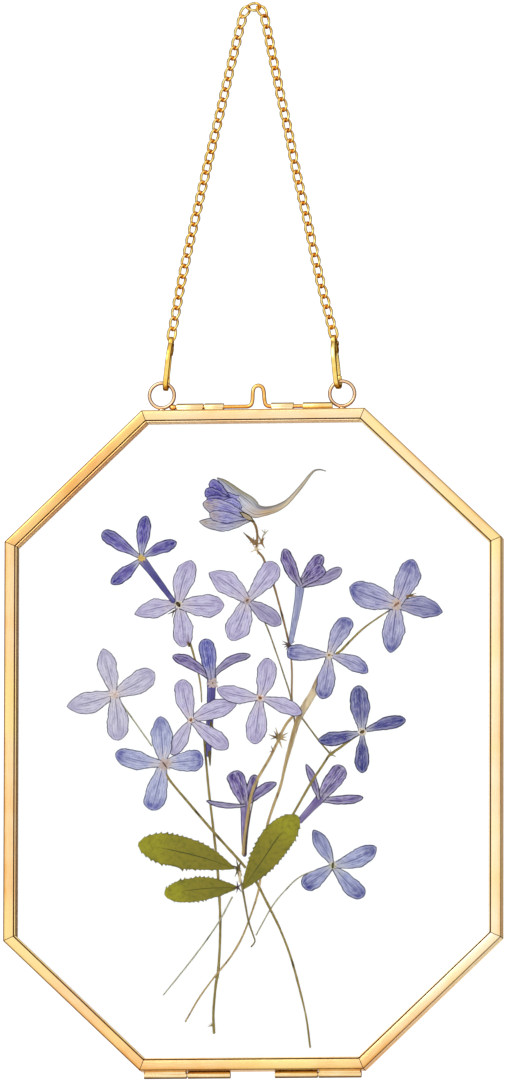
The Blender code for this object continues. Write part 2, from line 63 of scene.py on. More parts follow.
# Each roundness in the section, with the number of steps that it takes.
ROUNDINGS = ((0.75, 8), (0.15, 2), (0.06, 2))
SOLDER_SECTION = (
    (0.1, 0.25), (0.1, 3.5), (0.5, 3.88), (2.95, 3.88), (2.95, 3.3), (3.46, 3.3), (3.46, 3.76),
            (3.62, 3.76),
    (3.62, 2.8), (0.8, 2.8), (0.8, 0.7), (3.62, 0.7), (3.62, 0.25),
)
SOLDER_OVERLAP = 0.1
# How warm the brass is at the start and at the end of each bar, from pale (0) to orange (1).
BAR_WARMTH = {
    "top": (0.42, 0.36), "top_right": (0.3, 0.42), "right": (0.2, 0.25), "bottom_right": (-0.15, 0.8),
    "bottom": (0.68, 0.72), "bottom_left": (0.75, 0.45), "left": (0.62, 0.48), "top_left": (0.85, 0.95),
}
# Where the seam and the lip lie in the section, and what marks them in the V of the UV map. The bars get a
# painted shadow in the seam's recess and painted shade on the lip's inner edge.
SEAM_INSETS = (3.0, 3.42)
SEAM_DEPTHS = (3.3, 3.84)
LIP_INSET = 3.5
EDGE_ZONE = 10.0
SEAM_ZONE = 20.0
X_AXIS = Vector((1.0, 0.0, 0.0))
Y_AXIS = Vector((0.0, 1.0, 0.0))
Z_AXIS = Vector((0.0, 0.0, 1.0))


def paint(red, green, blue):
    """A colour as seen on the object, 0 to 255, as the linear light that a material takes."""
    linear = [((c / 255 + 0.055) / 1.055) ** 2.4 if c > 10 else c / 255 / 12.92 for c in (red, green, blue)]
    return (*linear, 1.0)


def paints(*colours):
    """Several colours in one go."""
    return [paint(*colour) for colour in colours]


def feed(made, inputs):
    """Fills a node's inputs with numbers, or with links from other nodes."""
    for key, value in inputs.items():
        if isinstance(value, bpy.types.NodeSocket):
            made.id_data.links.new(value, made.inputs[key])
        else:
            made.inputs[key].default_value = value


def node(tree, kind, inputs=None, **settings):
    """A new shader node with its settings and inputs."""
    made = tree.nodes.new(kind)
    for name, value in settings.items():
        setattr(made, name, value)
    feed(made, inputs or {})
    return made


def worked(kind, inputs, **settings):
    """What a new node makes of its inputs, beside the nodes that they come from."""
    trees = [value.id_data for value in inputs.values() if isinstance(value, bpy.types.NodeSocket)]
    return node(trees[0], kind, inputs, **settings).outputs


def calculate(operation, first, second=0.0):
    """A number worked out from two others, or from the first one alone."""
    return worked("ShaderNodeMath", {0: first, 1: second}, operation=operation)[0]


def times(first, second):
    """The product of two numbers."""
    return calculate("MULTIPLY", first, second)


def plus(first, second):
    """The sum of two numbers."""
    return calculate("ADD", first, second)


def minus(first, second):
    """The difference of two numbers."""
    return calculate("SUBTRACT", first, second)


def ranged(value, slope, start):
    """A value times a slope, counted from a start."""
    return worked("ShaderNodeMath", {0: value, 1: slope, 2: start}, operation="MULTIPLY_ADD")[0]


def between(value, low, high):
    """0 below low and 1 above high, with a soft step between them."""
    inputs = {"Value": value, "From Min": low, "From Max": high}
    return worked("ShaderNodeMapRange", inputs, interpolation_type="SMOOTHSTEP")[0]


def mixed(factor, first, second):
    """The first colour where the factor is 0, and the second where it is 1."""
    inputs = {"Factor": factor, 6: first, 7: second}
    return worked("ShaderNodeMix", inputs, data_type="RGBA")[2]


def coats(colour, *layers):
    """A colour under further coats, each given as where it lies, how strong it is, and its colour."""
    for where, strength, coat in layers:
        colour = mixed(times(where, strength), colour, coat)
    return colour


def darker(colour, share):
    """A colour with only a share of its light."""
    return (*(channel * share for channel in colour[:3]), 1.0)


def split(vector):
    """The X, Y and Z of a vector."""
    return worked("ShaderNodeSeparateXYZ", {0: vector})


def attribute(finish, name):
    """A number that the points of the mesh carry."""
    return node(finish.node_tree, "ShaderNodeAttribute", attribute_name=name).outputs["Fac"]


def graded(value, *stops):
    """A colour that changes with value, given as (place, colour) from 0 to 1."""
    made = worked("ShaderNodeValToRGB", {"Fac": value})["Color"]
    elements = made.node.color_ramp.elements
    while len(elements) < len(stops):
        elements.new(0.5)
    for element, (place, colour) in zip(elements, stops):
        element.position = place
        element.color = colour
    return made


def grain(vector, scale, detail=3.0, seed=0.0):
    """Noise from 0 to 1, finer along an axis where its scale is larger. An even scale is one number."""
    scale = (scale,) * 3 if isinstance(scale, float) else scale
    stretched = worked("ShaderNodeMapping", {"Vector": vector, "Scale": scale})[0]
    inputs = {"Vector": stretched, "Scale": 1.0, "Detail": detail, "Roughness": 0.6, "W": seed}
    return worked("ShaderNodeTexNoise", inputs, noise_dimensions="4D")["Fac"]


def new_finish(name, roughness, metallic):
    """A new material. Returns it, its shader and its coordinates."""
    made = bpy.data.materials.new(name)
    made.use_nodes = True
    shader = made.node_tree.nodes["Principled BSDF"]
    feed(shader, {"Roughness": roughness, "Metallic": metallic})
    return made, shader, node(made.node_tree, "ShaderNodeTexCoord").outputs


def finished(made, colour, height, depth):
    """Gives a material its colour, and raises and lowers its surface to a depth in metres."""
    bump = worked("ShaderNodeBump", {"Height": height, "Strength": 0.6, "Distance": depth})[0]
    feed(made.node_tree.nodes["Principled BSDF"], {"Base Color": colour, "Normal": bump})
    return made


def brass(name, pale, warm, tarnish_and_shade, roughness, lines, flank_shade=0.5):
    """Brass with fine lines along it, warmer clouds, tarnished spots, painted shade on its flanks, darker
    glancing light and an uneven gloss. Attribute flank is 1 where the surface faces sideways."""
    pale, warm, tarnish_and_shade = paints(pale, warm, tarnish_and_shade)
    made, shader, where = new_finish(name, roughness, 1.0)
    strokes = grain(where["Object"], lines, 5.0)
    clouds = grain(where["Object"], 90.0, 3.0)
    spots = between(grain(where["Object"], 700.0, 4.0), 0.66, 0.8)
    warmth = between(plus(strokes, clouds), 0.75, 1.25)
    # Tarnished spots, then painted shade on the flanks in the same dark colour.
    colour = coats(mixed(warmth, pale, warm), (spots, 0.5, tarnish_and_shade),
                   (attribute(made, "flank"), flank_shade, tarnish_and_shade))
    uneven = ranged(strokes, 0.18, roughness - 0.09)
    feed(shader, {"Specular Tint": darker(tarnish_and_shade, 0.8), "Roughness": uneven})
    return finished(made, colour, strokes, 0.00002)


def marks(shape, name):
    """The layer of a shape's points that carries one attribute."""
    layers = shape.verts.layers.float
    return layers.get(name) or layers.new(name)


def mark_flanks(shape, start=0.78):
    """Writes how far each point faces sideways, which is where the brass gets its painted shade."""
    flank = marks(shape, "flank")
    shape.normal_update()
    for corner in shape.verts:
        corner[flank] = min(1.0, max(0.0, (start - abs(corner.normal.y)) / 0.3))
    return shape


def piece(name, shape, body, finish, stands_for=(), sharp=38):
    """Closes a bmesh into a finished piece that rides on a body and stands for its CAD nodes."""
    mesh = bpy.data.meshes.new(name)
    for face in shape.faces:
        face.smooth = True
    shape.to_mesh(mesh)
    shape.free()
    mesh.set_sharp_from_angle(angle=math.radians(sharp))
    mesh.materials.append(finish)
    made = bpy.data.objects.new(name, mesh)
    bpy.context.scene.collection.objects.link(made)
    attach(made, body)
    if stands_for:
        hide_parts(*stands_for)
    return made


def at(x, y, z):
    """A place given in millimetres."""
    return Vector((x, y, z)) * MM


def octagon(inset):
    """The corners of the frame's outline, moved inwards by inset, clockwise from the top left."""
    half_width = FRAME_WIDTH / 2 - inset
    half_height = FRAME_HEIGHT / 2 - inset
    slant = math.hypot(CORNER_ACROSS, CORNER_DOWN)
    slanted = CORNER_DOWN * FRAME_WIDTH / 2 + CORNER_ACROSS * (FRAME_HEIGHT / 2 - CORNER_DOWN)
    reach = slanted / slant - inset
    across = (reach * slant - CORNER_ACROSS * half_height) / CORNER_DOWN
    up = (reach * slant - CORNER_DOWN * half_width) / CORNER_ACROSS
    corners = [
        (-across, half_height), (across, half_height), (half_width, up), (half_width, -up),
        (across, -half_height), (-across, -half_height), (-half_width, -up), (-half_width, up),
    ]
    middle = FRAME_TOP - FRAME_HEIGHT / 2
    return [at(x, 0.0, middle + z) for x, z in corners]


def cut_off(shape, place, facing):
    """Cuts a solid with a plane, drops what lies beyond it and closes the cut."""
    whole = shape.verts[:] + shape.edges[:] + shape.faces[:]
    cut = bmesh.ops.bisect_plane(shape, geom=whole, plane_co=place, plane_no=facing, clear_outer=True)
    rim = [part for part in cut["geom_cut"] if isinstance(part, bmesh.types.BMEdge)]
    bmesh.ops.holes_fill(shape, edges=rim, sides=0)


def draw_out(shape, faces, vector):
    """Draws flat faces out along a vector into solids."""
    drawn = bmesh.ops.extrude_face_region(shape, geom=faces)
    moved = [part for part in drawn["geom"] if isinstance(part, bmesh.types.BMVert)]
    bmesh.ops.translate(shape, verts=moved, vec=vector)


def ease(shape, parts, size, segments, affect="VERTICES"):
    """Rounds off corners or edges."""
    return bmesh.ops.bevel(shape, geom=parts, offset=size, offset_type="OFFSET", segments=segments,
                           profile=0.5, affect=affect, material=-1)


def zone_of(face, inset, depth, inward):
    """What a face adds to V: the seam between face and lip, the lip's inner edge, or nothing."""
    if SEAM_INSETS[0] < inset < SEAM_INSETS[1] and SEAM_DEPTHS[0] < depth < SEAM_DEPTHS[1]:
        return SEAM_ZONE
    return EDGE_ZONE if inset > LIP_INSET and face.normal.dot(inward) > 0.6 else 0.0


def channel_bar(side, start, end, start_inner, end_inner, warmths):
    """One bar of channel, cut along the mitre at both ends. Attribute warm runs from end to end."""
    along = (end - start).normalized()
    inward = Vector((along.z, 0.0, -along.x))
    depth_way = Vector((0.0, side, 0.0))
    spare = MITRE_SPARE * MM
    shape = bmesh.new()
    corners = [
        shape.verts.new(start - along * spare + inward * inset * MM + depth_way * depth * MM)
        for inset, depth, _ in CHANNEL
    ]
    shape.faces.new(corners)
    for radius, steps in ROUNDINGS:
        chosen = [corner for corner, (_, _, rounding) in zip(corners, CHANNEL) if rounding == radius]
        ease(shape, chosen, radius * MM, steps)
    draw_out(shape, shape.faces[:], along * ((end - start).length + 2 * spare))
    for corner, inner, way in ((start, start_inner, -1), (end, end_inner, 1)):
        facing = (inner - corner).cross(Y_AXIS).normalized()
        if facing.dot(along) * way < 0:
            facing.negate()
        cut_off(shape, corner - facing * MITRE_GAP * MM, facing)
    bmesh.ops.recalc_face_normals(shape, faces=shape.faces)
    uv = shape.loops.layers.uv.new("UVMap")
    warm = marks(shape, "warm")
    for corner in shape.verts:
        share = (corner.co - start).dot(along) / (end - start).length
        corner[warm] = warmths[0] + (warmths[1] - warmths[0]) * share
    for face in shape.faces:
        middle = (face.calc_center_median() - start) / MM
        zone = zone_of(face, middle.dot(inward), abs(middle.y), inward)
        for loop in face.loops:
            place = (loop.vert.co - start) / MM
            loop[uv].uv = (place.dot(along), place.dot(inward) + abs(place.y) + zone)
    return shape


def solder_joints(side):
    """The thin line of solder in each mitre, a little below the bars' faces."""
    shape = bmesh.new()
    for corner, inner in zip(octagon(0.0), octagon(FACE_WIDTH)):
        mitre = (inner - corner) / FACE_WIDTH
        facing = mitre.cross(Y_AXIS).normalized() * (MITRE_GAP + SOLDER_OVERLAP) * MM
        corners = [
            shape.verts.new(corner + mitre * inset + Vector((0.0, side * depth * MM, 0.0)) - facing)
            for inset, depth in SOLDER_SECTION
        ]
        draw_out(shape, [shape.faces.new(corners)], facing * 2)
    bmesh.ops.recalc_face_normals(shape, faces=shape.faces)
    return shape


def bar_finish():
    """Brushed brass, pale or orange by the bar's warmth, with yellow clouds, streaks and lines along the
    bar, dark spots, painted coppery shade on the lip's inner edge that is darker towards the face, and a
    painted shadow in the seam's recess."""
    made, shader, where = new_finish("bar_brass", 0.24, 1.0)
    across = split(where["UV"])[1]
    streaks = grain(where["UV"], (0.16, 5.0, 1.0), 5.0)
    lines = grain(where["UV"], (0.5, 26.0, 1.0), 3.0)
    clouds = grain(where["Object"], 70.0, 3.0)
    spots = between(grain(where["Object"], 900.0, 4.0), 0.66, 0.8)
    sheen = between(grain(where["Object"], 34.0, 2.0, 3.0), 0.46, 0.66)
    rolled_edge = between(across, 5.4, 4.3)
    warmth = attribute(made, "warm")
    for pattern, middle, strength in ((streaks, 0.5, 1.1), (clouds, 0.5, 0.9), (rolled_edge, 0.0, 0.3)):
        swing = times(minus(pattern, middle), strength)
        warmth = plus(warmth, swing)
    colour = graded(warmth, (0.0, paint(255, 240, 206)), (0.35, paint(253, 226, 180)),
                    (0.7, paint(250, 206, 144)), (1.0, paint(240, 178, 98)))
    colour = coats(colour, (sheen, 0.7, paint(253, 228, 150)),
                   (between(lines, 0.55, 0.8), 0.3, paint(222, 168, 104)),
                   (spots, 0.4, paint(180, 124, 66)),
                   # Painted shade: coppery on the lip's inner edge and darker towards the face, then a
                   # painted shadow in the seam's recess.
                   (between(across, EDGE_ZONE - 0.6, EDGE_ZONE - 0.1), 1.0, paint(222, 160, 122)),
                   (between(across, EDGE_ZONE + 6.4, EDGE_ZONE + 6.7), 1.0, paint(178, 118, 70)),
                   (between(across, SEAM_ZONE - 0.6, SEAM_ZONE - 0.1), 1.0, paint(96, 54, 18)))
    feed(shader, {"Roughness": ranged(streaks, 0.2, 0.16)})
    return finished(made, colour, lines, 0.00002)


bar_brass = bar_finish()
solder = brass("mitre_solder", (120, 78, 40), (86, 52, 24), (50, 30, 14), 0.5, 500.0)
outer_corners = octagon(0.0)
inner_corners = octagon(FACE_WIDTH)
for half, side in HALVES.items():
    for index, bar_name in enumerate(BAR_NAMES):
        after = (index + 1) % len(BAR_NAMES)
        bar = channel_bar(side, outer_corners[index], outer_corners[after], inner_corners[index],
                          inner_corners[after], BAR_WARMTH[bar_name])
        piece(f"{half}_channel_{bar_name}", bar, f"{half}_half", bar_brass, [f"{half}_bar_{bar_name}"])
    piece(f"{half}_mitre_solder", solder_joints(side), f"{half}_half", solder)

# ---- The panes --------------------------------------------------------------------------------
# Two sheets of clear glass 1.8 mm thick, one in each half. They are cut to the octagon and slipped
# into the channels' grooves before the last mitre is soldered. The CAD solids have the right shape.
GLASS_INDEX = 1.46


def glass_finish():
    """Clear glass that passes light, with a trace of green that comes and goes."""
    made, shader, where = new_finish("pane_glass", 0.0, 0.0)
    shader.inputs["Transmission Weight"].default_value = 1.0
    shader.inputs["IOR"].default_value = GLASS_INDEX
    clouds = grain(where["Object"], 40.0)
    tint = mixed(clouds, (0.985, 0.995, 0.992, 1.0), (0.996, 0.999, 0.998, 1.0))
    feed(shader, {"Base Color": tint})
    return made


glass = glass_finish()
for pane in ("front_pane", "back_pane"):
    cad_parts[pane].material_slots[0].material = glass

# ---- The bottom hinges ------------------------------------------------------------------------
# Two hinges on the bottom edge, each of two lengths of brass tube with a pin through them. The outer
# tube is soldered to the front half and the inner one to the back half by a foot along its side.
TUBE_RADIUS = 1.1
BORE_RADIUS = 0.68
TUBE_HEIGHT = 1.15
HINGE_TUBES = {
    "front_hinge_barrel_left": (-32.7, -19.85), "back_hinge_barrel_left": (-19.55, -6.7),
    "back_hinge_barrel_right": (6.7, 19.55), "front_hinge_barrel_right": (19.85, 32.7),
}
HINGE_PINS = {"hinge_pin_left": (-32.8, -6.6), "hinge_pin_right": (6.6, 32.8)}
PIN_RADIUS = 0.6
TUBE_STEPS = 28
PIN_STEPS = 20
# The foot of a tube: its depths, how far it stays from the tube's ends and middle, and how far the
# solder runs on to the bar.
FOOT_DEPTHS = (0.25, 1.15)
FOOT_MARGIN = 0.25
SOLDER_RUN = 0.04


def spin_round(shape, parts, centre, axis, steps):
    """Turns an open or closed outline once round an axis."""
    bmesh.ops.spin(shape, geom=parts, cent=centre, axis=axis, dvec=(0.0, 0.0, 0.0), angle=math.tau,
                   steps=steps, use_merge=True, use_duplicate=False)


def turned(shape, outline, centre, axis, steps, easing=0.0):
    """Turns a closed outline of points once round an axis, with its corners eased."""
    corners = [shape.verts.new(place) for place in outline]
    face = shape.faces.new(corners)
    if easing:
        corners = [corner for corner in ease(shape, corners, easing, 2)["verts"] if corner.is_valid]
        face = corners[0].link_faces[0]
    edges = list(face.edges)
    corners = list(face.verts)
    bmesh.ops.delete(shape, geom=[face], context="FACES_ONLY")
    spin_round(shape, corners + edges, centre, axis, steps)


def closed_up(shape, distance=0.000002):
    """Joins what meets and turns every face outwards."""
    bmesh.ops.remove_doubles(shape, verts=shape.verts, dist=distance)
    bmesh.ops.recalc_face_normals(shape, faces=shape.faces)
    return shape


def tube(shape, start, end, height):
    """A length of tube along X, with its ends' edges eased."""
    outline = [(start, BORE_RADIUS), (start, TUBE_RADIUS), (end, TUBE_RADIUS), (end, BORE_RADIUS)]
    outline = [at(x, 0.0, height + reach) for x, reach in outline]
    turned(shape, outline, at(0.0, 0.0, height), X_AXIS, TUBE_STEPS, 0.12 * MM)


def block(shape, low, high, easing):
    """A box between two corners, with eased edges."""
    size = (Vector(high) - Vector(low)) * MM
    middle = (Vector(high) + Vector(low)) / 2 * MM
    placing = Matrix.Translation(middle) @ Matrix.Diagonal((*size, 1.0))
    corners = bmesh.ops.create_cube(shape, size=1.0, matrix=placing)["verts"]
    edges = list({edge for corner in corners for edge in corner.link_edges})
    ease(shape, edges, easing * MM, 2, "EDGES")


def soldered_tube(start, end, height, side, bar_edge):
    """A tube with its foot, which ends just inside the bar's edge where the solder has run."""
    shape = bmesh.new()
    tube(shape, start, end, height)
    depths = sorted(side * depth for depth in FOOT_DEPTHS)
    towards = bar_edge - height
    root = height + math.copysign(FOOT_MARGIN, towards)
    heights = sorted((root, bar_edge + math.copysign(SOLDER_RUN, towards)))
    low = (start + FOOT_MARGIN, depths[0], heights[0])
    high = (end - FOOT_MARGIN, depths[1], heights[1])
    block(shape, low, high, 0.14)
    return mark_flanks(closed_up(shape))


def pin(start, end, height):
    """A straight pin along X with domed ends."""
    shape = bmesh.new()
    dome = ((0.0, 0.0), (0.05, 0.35), (0.18, 0.52), (0.4, PIN_RADIUS))
    near = [(start + inwards, reach) for inwards, reach in dome]
    far = [(end - inwards, reach) for inwards, reach in dome[::-1]]
    outline = [at(x, 0.0, height + reach) for x, reach in near + far]
    turned(shape, outline, at(0.0, 0.0, height), X_AXIS, PIN_STEPS)
    return mark_flanks(closed_up(shape))


tube_brass = brass("tube_brass", (255, 240, 194), (250, 214, 150), (150, 100, 48), 0.22,
                   (90.0, 1500.0, 1500.0), 0.6)
hinge_height = FRAME_TOP - FRAME_HEIGHT - TUBE_HEIGHT
for name, ends in HINGE_TUBES.items():
    half = name.split("_")[0]
    made = soldered_tube(*ends, hinge_height, HALVES[half], FRAME_TOP - FRAME_HEIGHT)
    piece(name.replace("barrel", "tube"), made, f"{half}_half", tube_brass, [name])
for name, ends in HINGE_PINS.items():
    piece(name.replace("pin", "pin_wire"), pin(*ends, hinge_height), "back_half", tube_brass, [name])

# ---- The lock ---------------------------------------------------------------------------------
# A bent orange brass wire slides through three tubes on the front half's top edge into a tube on the
# back half, and keeps the halves shut. Its hump is the finger hold. The tubes are soldered as the
# hinge's are.
LOCK_GUIDES = {
    "lock_guide_left": (-23.5, -15.35), "lock_guide_middle": (-15.05, -9.2),
    "lock_guide_right": (5.1, 11.9),
}
KEEPER = (14.7, 23.6)
HUMP = (
    (-2.2, 0.0), (-1.3, 0.25), (-0.8, 0.9), (-0.55, 2.1), (-0.5, 3.4), (-0.4, 4.75), (0.06, 5.85),
            (1.2, 6.35),
    (2.34, 5.85), (2.8, 4.75), (2.95, 3.4), (3.05, 2.1), (3.3, 0.9), (3.8, 0.25), (4.7, 0.0),
)
LOCK_ENDS = (-24.6, 20.6)
LOCK_HEAD = (-25.1, -23.9)
LOCK_HEAD_RADIUS = 0.88
# Points every LOCK_STEP along the straight parts: so many to the left and to the right of the hump.
LOCK_STEP = 1.1
LOCK_COUNTS = (21, 15)
LOCK_SIDES = 16


def smooth(points, every):
    """Points at an even spacing along a Catmull-Rom curve through the given points."""
    route = [Vector(place) for place in points]
    route = [2 * route[0] - route[1], *route, 2 * route[-1] - route[-2]]
    out = []
    for before, start, end, after in zip(route, route[1:], route[2:], route[3:]):
        steps = max(1, round((end - start).length / every))
        for step in range(steps):
            t = step / steps
            square = (2 * before - 5 * start + 4 * end - after) * t * t
            cube = (3 * start - before - 3 * end + after) * t ** 3
            out.append(0.5 * (2 * start + (end - before) * t + square + cube))
    return out + [route[-2]]


def sweep(shape, line, radii, sides, flat=1.0, squareness=2.0, thickness=None, dome=True):
    """A closed tube along a line that lies near a plane across Y. Its radius in that plane is given
    at each point. Its radius along Y is the same times flat, or half of a fixed thickness. Attribute
    edge is the distance in mm to the edge as seen along Y."""
    if dome:
        first = (line[0] - line[1]).normalized() * radii[0] * 0.8
        last = (line[-1] - line[-2]).normalized() * radii[-1] * 0.8
        line = [line[0] + first, line[0] + first * 0.75, *line, line[-1] + last * 0.75, line[-1] + last]
        radii = [0.0, radii[0] * 0.62, *radii, radii[-1] * 0.62, 0.0]
    shape.loops.layers.uv.verify()
    edge_way = marks(shape, "edge")
    count = len(line) - 1
    grid = bmesh.ops.create_grid(shape, x_segments=count, y_segments=sides, size=1.0, calc_uvs=True)
    for corner in grid["verts"]:
        step = round((corner.co.x + 1) / 2 * count)
        turn = round((corner.co.y + 1) / 2 * sides) % sides * math.tau / sides
        ahead = (line[min(step + 1, count)] - line[max(step - 1, 0)]).normalized()
        across = ahead.cross(Y_AXIS).normalized()
        part_across, part_deep = (
            math.copysign(abs(wave) ** (2 / squareness), wave) for wave in (math.sin(turn), -math.cos(turn))
        )
        deep = radii[step] * flat
        if thickness:
            deep = thickness / 2 * min(1.0, radii[step] / (0.35 * max(radii)))
        corner.co = line[step] + across * radii[step] * part_across + Y_AXIS * deep * part_deep
        corner[edge_way] = radii[step] * (1 - abs(part_across)) / MM


pin_brass = brass("pin_brass", (255, 212, 130), (246, 178, 80), (150, 84, 26), 0.2,
                  (220.0, 900.0, 900.0), 0.6)
keeper_brass = brass("keeper_brass", (255, 238, 176), (250, 214, 130), (120, 84, 30), 0.2,
                     (90.0, 1500.0, 1500.0), 0.8)
lock_height = FRAME_TOP + TUBE_HEIGHT
for name, ends in LOCK_GUIDES.items():
    made = soldered_tube(*ends, lock_height, -1, FRAME_TOP)
    piece(name.replace("guide", "tube"), made, "front_half", tube_brass, [name])
keeper = soldered_tube(*KEEPER, lock_height, 1, FRAME_TOP)
piece("lock_keeper_tube", keeper, "back_half", keeper_brass, ["lock_keeper"])
left_part, right_part = LOCK_COUNTS
lock_line = [(LOCK_ENDS[0] + step * LOCK_STEP, 0.0) for step in range(left_part)] + list(HUMP)
lock_line += [(LOCK_ENDS[1] - step * LOCK_STEP, 0.0) for step in reversed(range(right_part))]
lock_line = [at(place.x, 0.0, lock_height + place.y) for place in smooth(lock_line, 0.5)]
lock_wire = bmesh.new()
sweep(lock_wire, lock_line, [PIN_RADIUS * MM] * len(lock_line), LOCK_SIDES)
lock_head = [at(x, 0.0, lock_height) for x in (LOCK_HEAD[0], sum(LOCK_HEAD) / 2, LOCK_HEAD[1])]
sweep(lock_wire, lock_head, [LOCK_HEAD_RADIUS * MM * part for part in (0.92, 1.0, 0.9)], LOCK_SIDES)
piece("lock_wire", mark_flanks(closed_up(lock_wire)), "lock_pin", pin_brass, ["lock_pin"],
      sharp=60)

# ---- The rings --------------------------------------------------------------------------------
# Two rings of pinkish brass wire stand on the back half's top edge, each bent round, closed and held
# by a drop of solder. The clasps hang in them.
RING_RADIUS = 3.75
RING_WIRE = 0.55
RING_HEIGHT = 5.0
RING_DEPTH = 2.1
RING_PLACES = {"left": -28.2, "right": 26.3}
SOLDER_DROP = (1.15, 0.75, 0.72)
SOLDER_DROP_HEIGHT = 0.5


def ball(shape, place, turn, radii, fineness):
    """An egg-shaped solid with three radii, turned about Y."""
    placing = Matrix.Translation(place) @ Matrix.Rotation(turn, 4, "Y")
    placing = placing @ Matrix.Diagonal((*(radius * MM for radius in radii), 1.0))
    return bmesh.ops.create_icosphere(shape, subdivisions=fineness, radius=1.0, matrix=placing)["verts"]


ring_brass = brass("ring_brass", (255, 232, 200), (248, 204, 156), (138, 84, 46), 0.16, 500.0, 0.85)
for place, across in RING_PLACES.items():
    centre = at(across, RING_DEPTH, FRAME_TOP + RING_HEIGHT)
    shape = bmesh.new()
    placing = Matrix.Translation(centre + X_AXIS * RING_RADIUS * MM)
    wire = bmesh.ops.create_circle(shape, segments=14, radius=RING_WIRE * MM, matrix=placing)["verts"]
    wire += list({edge for corner in wire for edge in corner.link_edges})
    spin_round(shape, wire, centre, Y_AXIS, 64)
    ball(shape, at(across, RING_DEPTH, FRAME_TOP + SOLDER_DROP_HEIGHT), 0.0, SOLDER_DROP, 3)
    mark_flanks(closed_up(shape), 1.0)
    piece(f"hanging_ring_{place}", shape, "back_half", ring_brass, [f"ring_{place}"], sharp=60)

# ---- The clasps -------------------------------------------------------------------------------
# Cast and plated lobster clasps, seen almost edge on. Each has a hooked body with an eye at the top,
# two cheeks with a riveted pin, and a sprung trigger with a thumb tab that closes the hook.
CLASP_OFFSET = 1.3
CLASP_THICKNESS = 1.45
CLASP_LEAN = {"left": 6.5, "right": -5.3}
CLASP_TURN = {"left": 0.0, "right": 8.0}
HOOK_CENTRE = (0.0, 1.0)
HOOK_RADIUS = 2.55
HOOK_TURNS = range(20, -181, -25)
HOOK_WIDTHS = (0.85, 2.3)
EYE_CENTRE = (0.0, 12.6)
TRIGGER_PIVOT = (1.2, 10.6)
TRIGGER_THICKNESS = 1.0
# The round parts: place in the clasp's drawing, radius, and depths on both sides of its middle.
CHEEK = ((0.3, 10.3), 1.7)
CHEEK_DEPTHS = ((-0.82, -0.56), (0.56, 0.82))
RIVET = (TRIGGER_PIVOT, 0.42, (-0.94, 0.94))
THUMB_TAB = ((3.2, 12.1), 0.72, (-0.55, 0.55))
EYE_SECTION = ((0.85, -0.7), (1.75, -0.7), (1.75, 0.7), (0.85, 0.7))
ROUND_STEPS = 28


def clasp_placing(place):
    """Where a clasp hangs. Its drawing has the ring's wire at (0, 0, 0), the back at +X and up at +Z."""
    across = RING_PLACES[place] - math.copysign(CLASP_OFFSET, RING_PLACES[place])
    drop = math.sqrt(RING_RADIUS ** 2 - CLASP_OFFSET ** 2)
    rest = Vector((across, RING_DEPTH, FRAME_TOP + RING_HEIGHT + drop))
    drawing = Matrix(((0, 1, 0, 0), (1, 0, 0, 0), (0, 0, 1, 0), (0, 0, 0, 1)))
    lean = Matrix.Rotation(math.radians(CLASP_LEAN[place]), 4, "Y")
    turn = Matrix.Rotation(math.radians(-CLASP_TURN[place]), 4, "Z")
    return Matrix.Translation(rest * MM) @ lean @ turn @ drawing


def cast_bar(shape, points, start, end, thickness, every):
    """A cast bar of the clasp along points of its drawing, with rounded edges and a changing width."""
    line = [at(place.x, 0.0, place.y) for place in smooth(points, every)]
    shares = [step / (len(line) - 1) for step in range(len(line))]
    radii = [(start + (end - start) * share) / 2 * MM for share in shares]
    sweep(shape, line, radii, ROUND_STEPS, squareness=4.0, thickness=thickness * MM)


def button(shape, centre, radius, depths, easing):
    """A short round part across the clasp's thickness."""
    u, w = centre
    outline = [(0.0, depths[0]), (radius, depths[0]), (radius, depths[1]), (0.0, depths[1])]
    outline = [at(u + reach, depth, w) for reach, depth in outline]
    ends = [shape.verts.new(place) for place in outline]
    shape.faces.new(ends)
    ease(shape, ends[1:3], easing * MM, 3)
    face = ends[0].link_faces[0]
    rim = [edge for edge in face.edges if sum(abs(end.co.x - u * MM) for end in edge.verts) > 1e-7]
    corners = list(face.verts)
    bmesh.ops.delete(shape, geom=[face], context="FACES_ONLY")
    spin_round(shape, corners + rim, at(u, 0.0, w), Y_AXIS, ROUND_STEPS)
    loose = [edge for edge in shape.edges if not edge.link_faces]
    bmesh.ops.delete(shape, geom=loose, context="EDGES")


def eye_ring(shape):
    """The clasp's eye, whose hole faces across the clasp."""
    centre = at(EYE_CENTRE[0], 0.0, EYE_CENTRE[1])
    outline = [centre + at(reach, depth, 0.0) for reach, depth in EYE_SECTION]
    turned(shape, outline, centre, Y_AXIS, ROUND_STEPS, 0.3 * MM)


def hung(shape, placing, name, body, cad_name):
    """Closes a part of a clasp, hangs it in its place and makes it a piece."""
    closed_up(shape)
    bmesh.ops.transform(shape, matrix=placing, verts=shape.verts)
    bmesh.ops.recalc_face_normals(shape, faces=shape.faces)
    piece(name, mark_flanks(shape, 0.4), body, gold, [cad_name], sharp=45)


